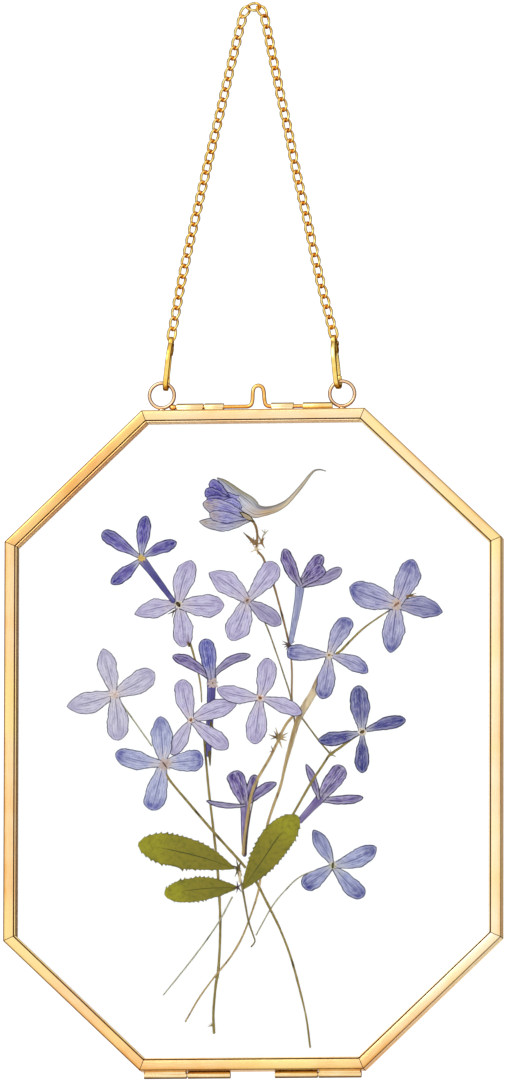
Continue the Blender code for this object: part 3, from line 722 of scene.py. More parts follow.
gold = brass("clasp_gold", (255, 236, 150), (250, 204, 88), (134, 86, 20), 0.14, 600.0, 0.4)
spine = [(HOOK_CENTRE[0] + HOOK_RADIUS * math.cos(turn), HOOK_CENTRE[1] + HOOK_RADIUS * math.sin(turn))
         for turn in map(math.radians, HOOK_TURNS)]
spine += [(-2.55, 4.0), (-2.5, 7.3), (-2.0, 9.4), (-1.1, 11.2), (-0.2, 12.4)]
lever = [TRIGGER_PIVOT, (1.85, 8.2), (2.35, 5.4), (2.45, 2.5)]
for place in RING_PLACES:
    body = bmesh.new()
    cast_bar(body, spine, *HOOK_WIDTHS, CLASP_THICKNESS, 0.5)
    eye_ring(body)
    for depths in CHEEK_DEPTHS:
        button(body, *CHEEK, depths, 0.12)
    button(body, *RIVET, 0.14)
    hung(body, clasp_placing(place), f"clasp_hook_{place}", "back_half", f"clasp_body_{place}")
    trigger = bmesh.new()
    cast_bar(trigger, lever, 1.5, 0.9, TRIGGER_THICKNESS, 0.5)
    cast_bar(trigger, [TRIGGER_PIVOT, (2.5, 11.3), (3.4, 12.4)], 1.3, 1.0, TRIGGER_THICKNESS - 0.1, 0.4)
    button(trigger, *THUMB_TAB, 0.2)
    hung(trigger, clasp_placing(place), f"clasp_lever_{place}", f"trigger_{place}", f"clasp_trigger_{place}")

# ---- The chain --------------------------------------------------------------------------------
# A fine gold-plated curb chain. Every wire link is twisted so that it lies flat against the next.
# It hangs from one point, and its last links pass through the eyes of the clasps.
LINK_PITCH = 3.2
LINK_WIRE = 0.44
LINK_HALF_LENGTH = 1.95
LINK_HALF_WIDTH = 1.12
LINK_SQUARENESS = 2.5
LINK_TWIST = 46.0
END_LINK_TWIST = 8.0
LINK_ROLL = 12
CHAIN_ROUTE = (
    (-25.25, 2.1, -97.45), (-22.0, 1.6, -80.0), (-18.4, 1.3, -63.7), (-14.7, 1.0, -47.6),
    (-10.9, 0.6, -31.7), (-8.0, 0.3, -19.2), (-5.8, 0.1, -9.9), (-4.3, 0.0, -3.8),
    (-2.9, 0.0, 0.2), (-0.4, 0.0, 1.3), (1.9, 0.0, 0.3), (3.2, 0.0, -3.6),
    (4.9, 0.1, -12.0), (7.5, 0.5, -24.8), (10.2, 0.8, -37.4), (12.8, 1.0, -50.5),
    (15.8, 1.3, -63.7), (19.4, 1.7, -80.8), (23.55, 2.1, -97.45),
)


def spaced(line, pitch):
    """Points along a line, spread evenly at about pitch, with the first and the last at its ends."""
    reach = [0.0]
    for start, end in zip(line, line[1:]):
        reach.append(reach[-1] + (end - start).length)
    count = round(reach[-1] / pitch)
    out = []
    step = 0
    for number in range(count + 1):
        wanted = reach[-1] * number / count
        while step < len(line) - 2 and reach[step + 1] < wanted:
            step += 1
        share = (wanted - reach[step]) / (reach[step + 1] - reach[step])
        out.append(line[step].lerp(line[step + 1], share))
    return out


def link(shape, placing, twist):
    """One oval link along X, twisted about its length. Attribute worn is 1 where links rub."""
    worn = marks(shape, "worn")
    upright = Matrix.Translation(X_AXIS) @ Matrix.Rotation(math.pi / 2, 4, "X")
    wire = bmesh.ops.create_circle(shape, segments=8, radius=LINK_WIRE, matrix=upright)["verts"]
    start = set(shape.verts) - set(wire)
    rim = list({edge for corner in wire for edge in corner.link_edges})
    spin_round(shape, wire + rim, (0.0, 0.0, 0.0), Z_AXIS, 20)
    corners = [corner for corner in shape.verts if corner not in start]
    for corner in corners:
        turn = math.atan2(corner.co.y, corner.co.x)
        out = Vector((math.cos(turn), math.sin(turn), 0.0))
        wire_part = corner.co - out
        square = [math.copysign(abs(part) ** (2 / LINK_SQUARENESS), part) for part in out.xy]
        middle = Vector((LINK_HALF_LENGTH * square[0], LINK_HALF_WIDTH * square[1], 0.0))
        place = middle + wire_part
        corner[worn] = max(0.0, abs(out.x) * 1.5 - 0.5)
        bend = Matrix.Rotation(math.radians(twist) * place.x / LINK_HALF_LENGTH, 4, "X")
        corner.co = placing @ (bend @ place * MM)


def worn_gold():
    """Gold plating that is worn to a deeper orange where the links rub."""
    made = brass("chain_gold", (255, 240, 160), (252, 214, 104), (150, 104, 26), 0.14, 700.0, 0.3)
    shader = made.node_tree.nodes["Principled BSDF"]
    plating = shader.inputs["Base Color"].links[0].from_socket
    feed(shader, {"Base Color": mixed(attribute(made, "worn"), plating, paint(232, 160, 44))})
    return made


chain_gold = worn_gold()
chain_shape = bmesh.new()
link_random = random.Random(4)
link_places = spaced([place * MM for place in smooth(CHAIN_ROUTE, 1.0)], LINK_PITCH * MM)
for index, place in enumerate(link_places):
    ahead = (link_places[min(index + 1, len(link_places) - 1)] - link_places[max(index - 1, 0)]).normalized()
    up = ahead.cross(Y_AXIS).normalized()
    deep = ahead.cross(up)
    facing = Matrix((ahead, up, deep)).transposed().to_4x4()
    at_end = index in (0, len(link_places) - 1)
    roll = 0.0 if at_end else link_random.uniform(-LINK_ROLL, LINK_ROLL)
    placing = Matrix.Translation(place) @ facing @ Matrix.Rotation(math.radians(roll), 4, "X")
    link(chain_shape, placing, END_LINK_TWIST if at_end else LINK_TWIST)
mark_flanks(closed_up(chain_shape, 0.0000005))
piece("curb_chain", chain_shape, "back_half", chain_gold, ["chain"], sharp=80)

# ---- The blossoms -----------------------------------------------------------------------------
# Fifteen larkspur blossoms, pressed flat and dry between the panes. The petals are paper thin, with
# fine veins that fan out from a pale throat, and darker rims. In the throat are a few dry stamens.
# A blossom pressed on its side keeps its tube. Places are measured from the middle of the frame.
FIELD_HEIGHT = -220.3
LAYER_DEPTHS = (-0.6, -0.2, 0.2, 0.6)
PETAL_THICKNESS = 0.1
PETAL_STEP = 0.03
CLAW_SHARE = 0.058
MATT = 0.06
# Petals: direction, length, width, place of the greatest width, how pointed, sideways bend, shade.
BLOSSOMS = {
    "01_indigo": (1, "indigo", (-33.9, 54.9), [
        (-140, 12.0, 4.0, 0.64, 0.3, 0.03, -0.1), (24, 11.7, 3.9, 0.66, 0.35, 0.04, -0.15),
        (84, 12.9, 4.3, 0.66, 0.2, 0.02, 0.05), (146, 14.3, 4.4, 0.76, -0.1, 0.0, 0.2)]),
    "02_lilac": (3, "lilac", (-22.7, 40.9), [
        (-168, 13.7, 5.6, 0.58, 0.85, -0.03, -0.05), (-83, 13.0, 6.1, 0.62, 0.2, 0.03, 0.0),
        (-2, 13.8, 7.0, 0.62, 0.45, -0.02, -0.08), (74, 13.8, 6.5, 0.64, 0.5, 0.05, 0.0)]),
    "03_lilac": (1, "lilac", (-1.9, 41.8), [
        (-112, 13.0, 7.3, 0.62, 0.3, 0.03, -0.05), (-36, 12.6, 5.2, 0.6, 0.3, 0.0, -0.35),
        (52, 14.2, 6.4, 0.72, 0.05, -0.02, 0.0), (144, 14.4, 6.8, 0.58, 0.8, -0.05, -0.03)]),
    "05_periwinkle": (1, "periwinkle", (43.1, 40.1), [
        (-97, 14.7, 6.8, 0.56, 0.6, 0.0, 0.0), (-10, 14.2, 6.4, 0.56, 0.8, 0.04, -0.3),
        (70, 14.5, 7.2, 0.6, 0.4, -0.02, -0.08), (159, 15.2, 8.0, 0.62, 0.5, 0.02, -0.08)]),
    "06_periwinkle": (2, "periwinkle", (22.8, 25.1), [
        (-99, 13.4, 5.6, 0.66, 0.15, 0.02, 0.05), (-24, 12.9, 4.7, 0.66, 0.45, 0.06, -0.05),
        (61, 12.7, 5.8, 0.66, 0.1, 0.04, 0.05), (175, 12.8, 4.9, 0.76, -0.35, 0.0, -0.08)]),
    "07_lilac": (2, "pale_lilac", (-42.0, 13.9), [
        (-166, 14.8, 6.7, 0.58, 0.7, 0.03, 0.05), (-85, 14.0, 6.5, 0.64, 0.1, 0.02, 0.0),
        (28, 13.8, 7.0, 0.66, 0.4, -0.02, -0.05), (104, 14.3, 5.9, 0.6, 0.6, 0.0, -0.05)]),
    "09_lilac": (1, "lilac", (-18.8, 5.9), [
        (-119, 12.0, 4.7, 0.6, 0.2, 0.0, 0.3), (-38, 14.2, 5.3, 0.64, 0.25, 0.0, 0.0),
        (19, 14.6, 5.9, 0.56, 0.6, 0.04, 0.0), (103, 12.6, 5.9, 0.62, 0.1, 0.02, 0.0)]),
    "10_lilac": (0, "lilac", (2.1, 12.3), [
        (-97, 14.0, 6.2, 0.66, 0.25, 0.0, 0.15), (-21, 13.6, 4.7, 0.62, 0.45, 0.03, 0.0),
        (79, 12.3, 6.1, 0.62, 0.35, -0.05, -0.1), (168, 13.4, 5.3, 0.58, 0.55, 0.04, -0.05)]),
    "11_periwinkle": (0, "pale_periwinkle", (-27.0, -7.2), [
        (-104, 14.5, 6.7, 0.68, 0.0, 0.0, 0.0), (5, 12.1, 6.4, 0.68, -0.2, 0.0, 0.0),
        (94, 14.3, 6.5, 0.54, 0.3, 0.0, 0.1), (168, 14.9, 5.9, 0.68, 0.2, 0.04, 0.0)]),
    "12_deep_blue": (0, "deep_blue", (32.9, 1.8), [
        (-169, 13.6, 4.4, 0.64, 0.45, 0.03, -0.1), (-90, 12.4, 4.4, 0.68, 0.15, 0.0, -0.2),
        (15, 13.6, 4.1, 0.7, 0.35, 0.04, -0.15), (95, 14.1, 6.0, 0.62, 0.2, 0.0, 0.35)]),
    "15_blue": (3, "blue", (24.0, -38.2), [
        (-145, 11.1, 5.3, 0.68, -0.1, 0.02, -0.1), (-46, 13.3, 5.3, 0.7, 0.0, -0.03, 0.0),
        (22, 14.2, 5.8, 0.64, 0.4, -0.06, 0.2), (119, 12.3, 4.6, 0.56, 0.5, -0.02, -0.15)]),
}
# Blossoms on their sides: the petals as above, then the tube from the throat down, with its widths.
SIDE_BLOSSOMS = {
    "04_violet_side": (0, "violet", (14.1, 46.1), [
        (21, 13.5, 3.6, 0.72, 0.1, -0.05, 0.6), (54, 11.3, 4.2, 0.72, 0.1, 0.0, -0.1),
        (38, 9.0, 4.4, 0.8, -0.2, 0.0, 0.0), (114, 12.2, 4.1, 0.64, 0.3, 0.04, -0.1)],
        [(14.1, 46.6), (13.5, 41.2), (12.3, 34.5), (11.3, 29.0)], 2.8, 1.5),
    "08_blue_side": (2, "violet", (-12.7, 18.3), [
        (31, 13.8, 2.9, 0.72, 0.3, 0.12, 0.25), (149, 13.7, 3.6, 0.7, 0.1, -0.06, 0.05)],
        [(-12.6, 18.8), (-12.9, 10.2), (-13.3, 2.9), (-13.5, -4.6)], 2.9, 1.6),
    "13_violet_side": (2, "violet", (-2.3, -19.9), [
        (36, 11.5, 3.2, 0.68, 0.4, 0.06, -0.1), (72, 9.7, 3.1, 0.72, 0.0, 0.0, -0.25),
        (110, 11.0, 5.4, 0.72, -0.1, 0.0, -0.1), (173, 12.0, 1.9, 0.5, 0.2, 0.06, 0.3)],
        [(-2.3, -19.0), (-2.5, -24.6), (-2.6, -30.0), (-2.6, -34.9)], 3.2, 1.3),
    "14_violet_side": (2, "violet", (19.8, -18.4), [
        (2, 13.4, 2.9, 0.62, 0.1, -0.03, 0.0), (54, 12.4, 5.5, 0.7, 0.0, 0.0, 0.25),
        (110, 11.5, 2.4, 0.6, 0.5, -0.03, -0.1)],
        [(20.4, -17.8), (17.8, -20.6), (15.6, -23.0), (14.0, -24.8)], 2.9, 1.8),
    "01_tube": (1, "indigo", (-33.9, 54.9), [],
        [(-33.6, 54.2), (-31.8, 51.9), (-29.3, 48.6), (-24.2, 41.8)], 2.6, 1.5),
}
# The broad striped petal in front of blossom 08.
BLUE_TONGUE = (99, 12.3, 5.0, 0.66, 0.0, 0.0, 0.0)
SIDE_CLAW = 0.5


def matt_finish(name, roughness):
    """A new dry and hardly shiny material, and its coordinates."""
    made, shader, where = new_finish(name, roughness, 0.0)
    shader.inputs["Specular IOR Level"].default_value = MATT
    return made, where


def petal_finish(name, throat, middle, tip, vein, stripes=0.5, lines=23.0):
    """Dry petal: pale throat, veins that branch out of it with pale and dark lines between them, a midrib, a
    dark rim that is lost in places, crinkles with painted highlights and painted shade, and cloudy fading."""
    throat, middle, tip, vein = paints(throat, middle, tip, vein)
    made, where = matt_finish(name + "_petal", 0.72)
    shade = attribute(made, "shade")
    parts = split(where["UV"])
    aside = times(calculate("ABSOLUTE", minus(parts[1], 0.5)), 2.0)
    ragged = minus(grain(where["Object"], 900.0, 3.0), 0.5)
    clouds = grain(where["Object"], 280.0, 4.0)
    warped = plus(parts[1], times(ragged, 0.12))
    ribs = calculate("PINGPONG", times(warped, 8.0), 0.5)
    broken = between(grain(where["UV"], (5.0, 9.0, 1.0), 3.0, shade), 0.36, 0.56)
    veins = times(between(ribs, 0.19, 0.04), broken)
    pale_lines = between(grain(where["UV"], (2.6, lines, 1.0), 3.0, shade), 0.52, 0.62)
    dark_lines = between(grain(where["UV"], (3.4, lines * 1.3, 5.0), 3.0, clouds), 0.53, 0.62)
    fine = between(grain(where["UV"], (3.0, lines * 3, 1.0), 2.0, shade), 0.5, 0.64)
    speckle = between(grain(where["Object"], 2600.0, 2.0), 0.54, 0.68)
    crinkle_relief_and_shade = grain(where["UV"], (7.0, 5.0, 1.0), 4.0, shade)
    midrib = minus(1.0, between(aside, 0.02, 0.1))
    midrib = times(midrib, between(parts[0], 0.92, 0.3))
    edge = plus(attribute(made, "edge"), times(ragged, 0.5))
    rim = between(edge, 0.38, 0.16)
    hem = times(between(edge, 0.3, 0.5), between(edge, 0.95, 0.6))
    reach = plus(parts[0], times(minus(clouds, 0.5), 0.5))
    light = (*(channel + (1 - channel) * (0.24 + 0.26 * stripes) for channel in middle[:3]), 1.0)
    colour = graded(reach, (0.12, throat), (0.36, middle), (0.6, middle), (0.92, tip))
    # First come painted highlights and painted shade where the petal crinkles.
    colour = coats(colour, (between(crinkle_relief_and_shade, 0.5, 0.36), 0.55, light),
                   (between(crinkle_relief_and_shade, 0.52, 0.7), 0.6, vein),
                   (pale_lines, 0.25 + 0.45 * stripes, light), (dark_lines, 0.15 + 0.6 * stripes, vein),
                   (veins, 0.2 + 0.8 * stripes, vein), (fine, stripes * 0.45, vein),
                   (midrib, 0.85, vein), (speckle, 0.3, light),
                   (between(shade, 0.0, 1.8), 1.0, light),
                   (between(shade, 0.0, -0.8), 1.0, vein),
                   (hem, 0.35, light), (rim, 0.95, darker(vein, 0.36)))
    return finished(made, colour, plus(veins, crinkle_relief_and_shade), 0.00009)


# Each kind of petal: throat, middle, tip, veins, how strong its stripes are, and how many it has.
PETAL_COLOURS = {
    "lilac": ((238, 228, 238), (220, 212, 245), (190, 178, 222), (116, 104, 156), 0.55),
    "pale_lilac": ((244, 234, 236), (222, 217, 240), (194, 188, 224), (128, 120, 158), 0.5),
    "periwinkle": ((230, 220, 230), (192, 190, 229), (86, 89, 172), (78, 76, 142), 0.5),
    "pale_periwinkle": ((242, 234, 236), (198, 202, 237), (98, 101, 182), (90, 94, 160), 0.5),
    "blue": ((226, 228, 236), (180, 186, 230), (66, 68, 154), (62, 64, 136), 0.6),
    "deep_blue": ((246, 246, 248), (98, 96, 180), (40, 50, 148), (24, 26, 96), 0.9, 12.0),
    "indigo": ((244, 248, 255), (120, 106, 204), (50, 38, 158), (30, 22, 108), 0.95, 12.0),
    "violet": ((206, 194, 220), (152, 130, 206), (120, 98, 178), (42, 26, 90), 1.25, 8.5),
    "striped_blue": ((200, 194, 216), (128, 130, 212), (104, 108, 196), (42, 40, 128), 0.95, 15.0),
}
PETAL_FINISHES = {name: petal_finish(name, *colours) for name, colours in PETAL_COLOURS.items()}


def on_field(place, depth):
    """A place of the field of plants, measured from the frame's middle, at a depth."""
    return at(place[0], depth, FIELD_HEIGHT + place[1])


def petal(shape, centre, depth, direction, length, width, peak, pointed, bend, shade, seed, claw=None):
    """One petal: a grid drawn into a narrow claw that widens to its peak and rounds off at the tip. The
    claw's width is a share of the petal's, and wider petals have wider claws."""
    uv = shape.loops.layers.uv.verify()
    tint = marks(shape, "shade")
    edge_way = marks(shape, "edge")
    along = Vector((math.cos(math.radians(direction)), 0.0, math.sin(math.radians(direction))))
    across = Vector((-along.z, 0.0, along.x))
    base = on_field(centre, depth)
    corners = bmesh.ops.create_grid(shape, x_segments=26, y_segments=10, size=1.0, calc_uvs=True)["verts"]
    places = {}
    for corner in corners:
        share = (corner.co.x + 1) / 2
        share = 0.35 * share + 0.65 * math.sin(share * math.pi / 2)
        aside = corner.co.y
        if share < peak:
            root = claw or CLAW_SHARE * width
            breadth = root + (1 - root) * math.sin(share / peak * math.pi / 2) ** 1.45
        else:
            tail = (share - peak) / (1 - peak)
            breadth = (1 - tail ** (2.5 - 0.9 * pointed)) ** (0.5 + 0.4 * pointed)
        edge = noise.noise(Vector((share * 5.0, seed * 7.3, 2.0 if aside > 0 else 9.0)))
        ripple = noise.noise(Vector((share * 3.0, aside * 1.6, seed * 3.1)))
        crimp = noise.noise(Vector((share * 17.0, seed * 3.3, math.copysign(1.0, aside))))
        breadth *= width / 2 * (1 + 0.15 * edge + 0.08 * crimp)
        bow = bend * length * 4 * share * (1 - share)
        fold = (0.05 * aside * aside * math.sin(share * math.pi) + 0.07 * ripple) * min(1.0, share * 4)
        places[corner] = (share, aside)
        corner.co = base + (along * share * length + across * (aside * breadth + bow) + Y_AXIS * fold) * MM
        corner[tint] = shade
        corner[edge_way] = min((1 - abs(aside)) * breadth, (1 - share) * length)
    for face in {face for corner in corners for face in corner.link_faces}:
        for loop in face.loops:
            share, aside = places[loop.vert]
            loop[uv].uv = (share, (aside + 1) / 2)


def thin_piece(name, shape, finish, stands_for):
    """Closes a flat shape, makes it a piece and gives it the thickness of a petal."""
    made = piece(name, closed_up(shape, 0.000001), "back_half", finish, stands_for, sharp=60)
    wall = made.modifiers.new("thickness", "SOLIDIFY")
    wall.thickness = PETAL_THICKNESS * MM
    wall.offset = 0.0


def petal_piece(name, shape, kind, stands_for=()):
    """Makes the petals of a blossom a piece."""
    thin_piece(name, shape, PETAL_FINISHES[kind], stands_for)


seed = 0
for name, (layer, kind, centre, petals) in BLOSSOMS.items():
    shape = bmesh.new()
    for order, drawn in enumerate(petals):
        seed += 1
        petal(shape, centre, LAYER_DEPTHS[layer] - PETAL_STEP * order, *drawn, seed)
    petal_piece(f"petals_{name}", shape, kind, [f"blossom_{name}"])


def tube_finish(name, pale, middle, vein):
    """The side of a blossom's tube: long darker lines on a paler ground, dark edges and a pale mouth."""
    pale, middle, vein = paints(pale, middle, vein)
    made, where = matt_finish(name + "_tube", 0.75)
    lines = between(grain(where["UV"], (1.4, 22.0, 1.0), 3.0), 0.44, 0.58)
    clouds = grain(where["Object"], 300.0, 3.0)
    reach = plus(split(where["UV"])[0], times(clouds, 0.2))
    rim = between(attribute(made, "edge"), 0.3, 0.08)
    colour = mixed(between(clouds, 0.35, 0.6), pale, middle)
    colour = coats(colour, (between(reach, 0.3, 0.14), 0.75, paint(206, 190, 182)),
                   (lines, 0.8, vein), (rim, 0.85, darker(vein, 0.35)))
    return finished(made, colour, lines, 0.00006)


TUBE_FINISHES = {
    "indigo": tube_finish("indigo", (128, 122, 184), (96, 90, 160), (66, 60, 134)),
    "04_violet_side": tube_finish("grey_blue", (214, 216, 236), (176, 180, 216), (124, 126, 178)),
    "08_blue_side": tube_finish("blue_violet", (128, 122, 184), (104, 96, 166), (72, 64, 136)),
    "violet": tube_finish("violet", (178, 164, 206), (146, 128, 188), (84, 66, 132)),
}


def ribbon_tube(shape, points, start, end, depth, flat, every=1.0, sides=12, seed=0.0, wobble=0.06):
    """A flattened stalk or tube through points of the field, from one width to another."""
    line = smooth(points, every)
    count = len(line) - 1
    radii = []
    for step in range(count + 1):
        share = step / count
        uneven = 1 + wobble * noise.noise(Vector((step * every * 0.35, seed * 5.7, 0.0)))
        radii.append((start + (end - start) * share) / 2 * uneven * MM)
    sweep(shape, [on_field(place, depth) for place in line], radii, sides, flat)


for name, (layer, kind, centre, petals, tube_points, start, end) in SIDE_BLOSSOMS.items():
    depth = LAYER_DEPTHS[layer]
    shape = bmesh.new()
    for order, drawn in enumerate(petals):
        seed += 1
        petal(shape, centre, depth - PETAL_STEP * order, *drawn, seed, SIDE_CLAW)
    if petals:
        petal_piece(f"petals_{name}", shape, kind, [f"blossom_{name}"])
    else:
        shape.free()
    side_tube = bmesh.new()
    ribbon_tube(side_tube, tube_points, start, end, depth + 0.02, 0.09)
    finish = TUBE_FINISHES.get(name) or TUBE_FINISHES[kind]
    piece(f"corolla_tube_{name[:2]}", closed_up(side_tube), "back_half", finish)
tongue = bmesh.new()
petal(tongue, (-12.7, 18.3), LAYER_DEPTHS[2] - 0.09, *BLUE_TONGUE, 91, SIDE_CLAW)
petal_piece("petals_08_blue_tongue", tongue, "striped_blue")

# ---- The larkspur with a spur -----------------------------------------------------------------
# The flower at the top was pressed from its side. Its hood runs back into a long pale spur. A middle
# and a lower sepal hold the crumpled blue petals. Tips and edges have dried to tan and olive.
LARKSPUR_DEPTH = 0.6
LARKSPUR_PARTS = (
    ("larkspur_body", "spurred_blue", -0.04, [
        ((-14.6, 74.4), -22, 11.9, 6.0, 0.62, -0.3, 0.0, 0.12),
        ((-13.4, 72.4), -14, 9.6, 4.4, 0.6, -0.2, 0.0, 0.0)]),
    ("larkspur_lobes", "lobe", -0.12, [
        ((-7.4, 73.4), 142, 7.5, 3.2, 0.74, -0.3, 0.0, 0.1),
        ((-8.0, 73.4), 168, 7.1, 3.4, 0.7, -0.2, 0.0, -0.25),
        ((-7.2, 73.0), 184, 7.2, 2.4, 0.66, 0.0, 0.0, -0.15)]),
    ("larkspur_lower", "tan_edged", -0.16, [((-0.6, 66.4), 182, 16.0, 4.4, 0.58, 0.6, 0.07, 0.0)]),
    ("larkspur_middle", "tan_tipped", -0.24, [
        ((-1.4, 67.0), 163, 14.8, 5.0, 0.74, 0.5, -0.02, 0.0),
        ((-2.4, 66.4), 172, 11.2, 3.8, 0.66, 0.1, 0.02, 0.15)]),
    ("larkspur_seat", "olive_tan", -0.3, [((0.4, 65.4), 146, 5.8, 1.7, 0.5, 0.7, 0.0, 0.0)]),
)
# The hood and spur: places from the hood's tip to the spur's, each with the width there.
HOOD_AND_SPUR = (
    (-11.2, 79.0, 0.3), (-9.8, 78.0, 1.7), (-7.9, 76.4, 2.7), (-4.9, 73.6, 3.9), (-2.0, 70.9, 5.4),
    (0.3, 69.0, 4.6), (2.3, 68.75, 3.3), (4.3, 68.95, 2.6), (6.7, 69.6, 2.2), (9.0, 70.8, 1.8),
    (10.4, 71.9, 1.5), (12.35, 73.95, 1.25), (14.5, 76.5, 1.1), (16.4, 79.0, 0.85), (17.7, 80.5, 0.65),
    (18.9, 81.1, 0.5), (20.35, 81.1, 0.36), (21.6, 80.7, 0.26),
)

# Throat, middle, tip, veins, how strong the stripes are, and how many there are.
LARKSPUR_COLOURS = (
    ("tan_edged", (196, 186, 170), (206, 204, 228), (208, 184, 130), (100, 96, 158), 0.9, 16.0),
    ("spurred_blue", (132, 122, 204), (162, 158, 228), (168, 166, 222), (88, 80, 176), 1.0, 15.0),
    ("lobe", (120, 108, 200), (96, 84, 188), (128, 118, 208), (54, 42, 140), 0.9, 12.0),
    ("tan_tipped", (176, 172, 184), (174, 170, 224), (216, 192, 138), (92, 84, 168), 1.1, 15.0),
    ("olive_tan", (158, 132, 62), (200, 172, 116), (150, 134, 84), (84, 70, 28), 0.9),
)

for finish_name, *colours in LARKSPUR_COLOURS:
    PETAL_FINISHES[finish_name] = petal_finish(finish_name, *colours)
for name, kind, forward, petals in LARKSPUR_PARTS:
    shape = bmesh.new()
    for order, (centre, *drawn) in enumerate(petals):
        seed += 1
        petal(shape, centre, LARKSPUR_DEPTH + forward - PETAL_STEP * order, *drawn, seed)
    petal_piece(name, shape, kind, ["larkspur_flower"] if name == "larkspur_body" else ())


def dry_spur():
    """Pale and striped, blue at the hood's end, with an olive hem above and dark edges."""
    made, where = matt_finish("larkspur_spur", 0.75)
    lines = grain(where["UV"], (3.0, 22.0, 1.0), 4.0)
    share, turn = split(where["UV"])[0:2]
    edge = attribute(made, "edge")
    top = calculate("SINE", times(turn, math.tau))
    above = graded(share, (0.04, paint(150, 136, 58)), (0.3, paint(196, 196, 190)),
                   (0.45, paint(140, 148, 190)), (0.62, paint(222, 212, 204)), (1.0, paint(196, 186, 168)))
    below = graded(share, (0.04, paint(190, 192, 214)), (0.3, paint(220, 220, 234)),
                   (0.45, paint(220, 190, 146)), (0.62, paint(232, 212, 180)), (1.0, paint(196, 186, 168)))
    hem = times(between(edge, 0.9, 0.3), between(top, 0.2, 0.8))
    colour = mixed(between(top, -0.2, 0.9), below, above)
    colour = coats(colour, (between(lines, 0.5, 0.6), 0.85, paint(98, 94, 112)),
                   (hem, 0.55, paint(156, 138, 66)),
                   (between(edge, 0.3, 0.12), 0.9, paint(98, 82, 70)))
    return finished(made, colour, lines, 0.00006)


spur_route = smooth(HOOD_AND_SPUR, 0.7)
spur_shape = bmesh.new()
sweep(spur_shape, [on_field(place, LARKSPUR_DEPTH + 0.06) for place in spur_route],
      [max(0.1, place.z / 2) * MM for place in spur_route], 20, 0.07)
piece("larkspur_spur_horn", closed_up(spur_shape), "back_half", dry_spur())

# ---- The throats ------------------------------------------------------------------------------
# What is left in the middle of each open blossom: a ragged pale throat and a few dry stamens, from
# yellow to brown.
# Each throat: layer, place, radius, colours, and its hollow: half length, half width and turn.
THROATS = {
    "01_indigo": (1, (-33.9, 54.9), 1.3, "yellow", None),
    "02_lilac": (3, (-22.8, 40.9), 1.5, "dark", (0.95, 0.55, -55)),
    "03_lilac": (1, (-1.9, 41.8), 1.4, "brown", (0.5, 0.35, 30)),
    "05_periwinkle": (1, (43.1, 40.1), 2.0, "streaked", (1.1, 0.32, 38)),
    "06_periwinkle": (2, (22.8, 25.1), 1.5, "gold", (0.45, 0.3, 20)),
    "07_lilac": (2, (-42.0, 13.9), 1.6, "orange", None),
    "08_blue_side": (2, (-12.3, 17.0), 1.8, "brown", (0.3, 0.2, 80)),
    "09_lilac": (1, (-18.8, 5.9), 1.3, "orange", (0.5, 0.4, 60)),
    "10_lilac": (0, (2.1, 12.3), 1.4, "orange", (0.6, 0.45, -30)),
    "11_periwinkle": (0, (-26.6, -7.6), 2.2, "brown", (1.2, 0.25, -55)),
    "12_deep_blue": (0, (32.9, 1.8), 1.5, "dark", (0.75, 0.5, 30)),
    "15_blue": (3, (24.0, -38.2), 1.5, "olive", (0.95, 0.4, 85)),
}
STAMENS = 5
STAMEN_HEAD = (0.17, 0.08, 0.1)
HOLLOW_DEPTH = 0.07
# The colours of a throat, its stamens and its hollow.
STAMEN_COLOURS = {
    "yellow": ((236, 206, 120), (226, 176, 70), (110, 78, 40)),
    "gold": ((240, 234, 232), (222, 180, 96), (120, 92, 60)),
    "dark": ((244, 236, 228), (196, 160, 84), (52, 38, 26)),
    "brown": ((214, 196, 194), (190, 158, 142), (104, 72, 58)),
    "orange": ((242, 232, 234), (216, 160, 106), (128, 78, 44)),
    "olive": ((226, 222, 214), (176, 168, 96), (60, 56, 38)),
    "streaked": ((220, 206, 200), (212, 164, 124), (132, 82, 54)),
}


def stamen_finish(name, pale, light, dark):
    """Attribute kind is 0 on the throat, 1 on the stamens and 2 in the hollow."""
    pale, light, dark = paints(pale, light, dark)
    made, where = matt_finish(name + "_stamens", 0.8)
    kind = attribute(made, "kind")
    patches = between(grain(where["Object"], 1600.0, 3.0), 0.4, 0.62)
    crumbs = between(grain(where["Object"], 4000.0, 2.0), 0.5, 0.7)
    throat = mixed(times(patches, 0.3), pale, light)
    stamen = mixed(crumbs, light, dark)
    colour = mixed(between(kind, 0.0, 1.0), throat, stamen)
    colour = mixed(between(kind, 1.0, 2.0), colour, dark)
    return finished(made, colour, crumbs, 0.0001)


